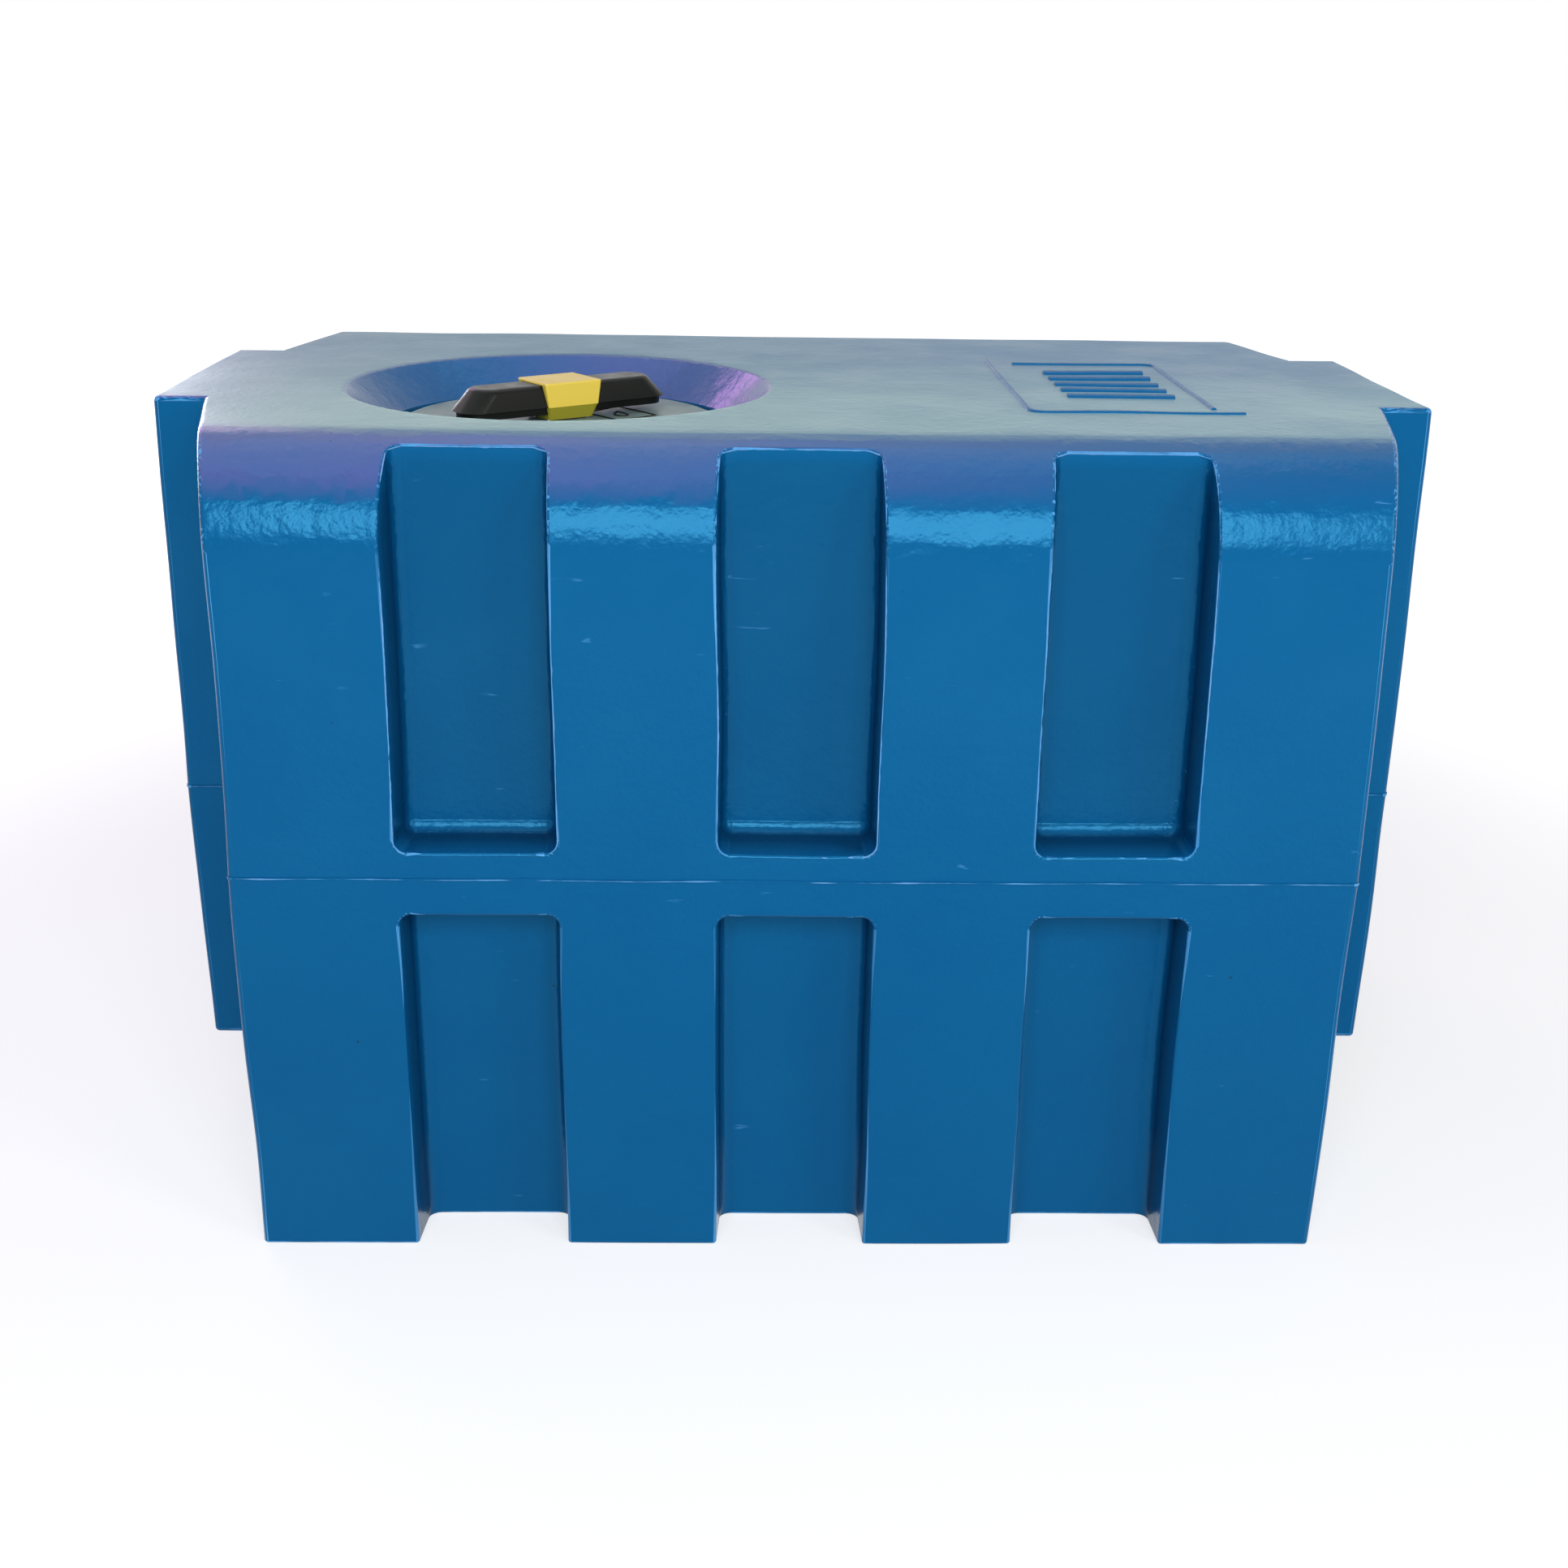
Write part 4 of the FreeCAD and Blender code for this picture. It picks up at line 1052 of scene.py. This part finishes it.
@dataclass
class Studio:
    """Pale floor, white background, soft lamps and the camera."""

    camera_place: Point = (-0.05532, -2.48587, 1.32164)
    yaw: float = 1.17501
    pitch: float = 20.29652
    roll: float = 0.79256
    lens: float = 44.754
    sensor: float = 36.0
    clip: Span = (0.05, 200.0)
    lamp_target: Point = (0.0, 0.0, 0.55)
    floor_half: float = 60.0
    floor_grey: Colour = (0.46, 0.46, 0.46, 1.0)
    near_glow: float = 0.62
    shadow_reach: float = 1.2
    white_reach: float = 3.0
    ambient: float = 0.11
    ambient_colour: str = "#e9eef6"

    def camera(self) -> None:
        """Set the camera at the photograph's place and angle."""
        data = bpy.data.cameras.new("camera")
        data.lens, data.sensor_width, data.sensor_fit = self.lens, self.sensor, "HORIZONTAL"
        data.clip_start, data.clip_end = self.clip
        turn = (Matrix.Rotation(-math.radians(self.yaw), 4, "Z")
                @ Matrix.Rotation(math.radians(90.0 - self.pitch), 4, "X")
                @ Matrix.Rotation(math.radians(self.roll), 4, "Z"))
        bpy.context.scene.camera = put("camera", data, Matrix.Translation(self.camera_place) @ turn)

    def lamp(self, name: str, place: Point, size: Span, power: float, colour: str) -> None:
        """Hang a soft lamp of some width, height and watts that faces the tank."""
        data = bpy.data.lights.new(name, "AREA")
        data.shape, data.size, data.size_y = "RECTANGLE", *size
        data.energy, data.color = power, linear(colour)[:3]
        towards = Vector(self.lamp_target) - Vector(place)
        put(name, data, Matrix.Translation(place) @ towards.to_track_quat("-Z", "Y").to_matrix().to_4x4())

    def world(self) -> None:
        """White where the camera, a gloss or glass sees it, and plain soft light elsewhere."""
        world = bpy.data.worlds.new("studio")
        tree = empty_tree(world)
        lit = add_node(tree, "ShaderNodeBackground", inputs={
            "Color": linear(self.ambient_colour), "Strength": self.ambient})
        white = add_node(tree, "ShaderNodeBackground", inputs={"Color": WHITE, "Strength": 1.0})
        mixed = add_node(tree, "ShaderNodeMixShader", inputs={
            0: background_rays(tree), 1: lit.outputs[0], 2: white.outputs[0]})
        add_node(tree, "ShaderNodeOutputWorld", inputs={"Surface": mixed.outputs[0]})
        bpy.context.scene.world = world

    def floor(self) -> None:
        """Lay a plain pale floor that reads as white and keeps the tank's shadow."""
        half = self.floor_half
        mesh = bpy.data.meshes.new("floor")
        mesh.from_pydata([(-half, -half, 0), (half, -half, 0), (half, half, 0), (-half, half, 0)], [],
                         [(0, 1, 2, 3)])
        material = bpy.data.materials.new("pale_floor")
        mesh.materials.append(material)
        tree = empty_tree(material)
        coords = add_node(tree, "ShaderNodeTexCoord")
        away = add_node(tree, "ShaderNodeVectorMath", {"operation": "LENGTH"}, {0: coords.outputs["Object"]})
        glowing = ranged(tree, away.outputs["Value"], self.shadow_reach, self.white_reach, self.near_glow, 1.0)
        matt = add_node(tree, "ShaderNodeBsdfDiffuse", inputs={"Color": self.floor_grey})
        glow = add_node(tree, "ShaderNodeEmission", inputs={
            "Color": WHITE, "Strength": product(tree, background_rays(tree), glowing)})
        both = add_node(tree, "ShaderNodeAddShader", inputs={0: matt.outputs[0], 1: glow.outputs[0]})
        add_node(tree, "ShaderNodeOutputMaterial", inputs={"Surface": both.outputs[0]})
        put("floor", mesh)

    def build(self) -> None:
        """Set up the camera, the lamps, the world and the floor."""
        bpy.context.scene.view_settings.view_transform = "Standard"
        self.camera()
        self.world()
        self.floor()
        self.lamp("key_lamp", (3.7, -3.5, 2.3), (1.6, 2.4), 64.0, "#fffaf2")
        self.lamp("strip_lamp", (0.1, -4.5, 2.7), (3.7, 2.1), 198.0, "#f4faff")
        self.lamp("low_lamp", (0.1, -4.8, 1.55), (3.7, 1.1), 20.0, "#eaf4ff")
        self.lamp("sky_lamp", (-0.6, 0.4, 5.0), (5.0, 4.0), 60.0, "#f3eaff")
        self.lamp("rear_lamp", (-3.6, 4.4, 1.1), (3.4, 1.6), 120.0, "#f4f6ff")
        self.lamp("back_lamp", (-2.4, 3.6, 3.0), (1.6, 0.9), 20.0, "#ff9cf0")
        LOG.info("studio ready")


def main() -> None:
    """Build the studio and the tank, piece by piece."""
    logging.basicConfig(level=logging.INFO, format="%(name)s: %(message)s")
    Studio().build()
    finishes = Finishes()
    shell = TankShell(finishes)
    shell.build()
    TopRelief(shell).build()
    TrimmedHighlitLips(shell).build()
    ScrewLid(finishes).build()
    BarHandle(finishes).build()
    SplashVent(finishes).build()
    DrainFitting(finishes).build()


if __name__ == "__main__":
    main()
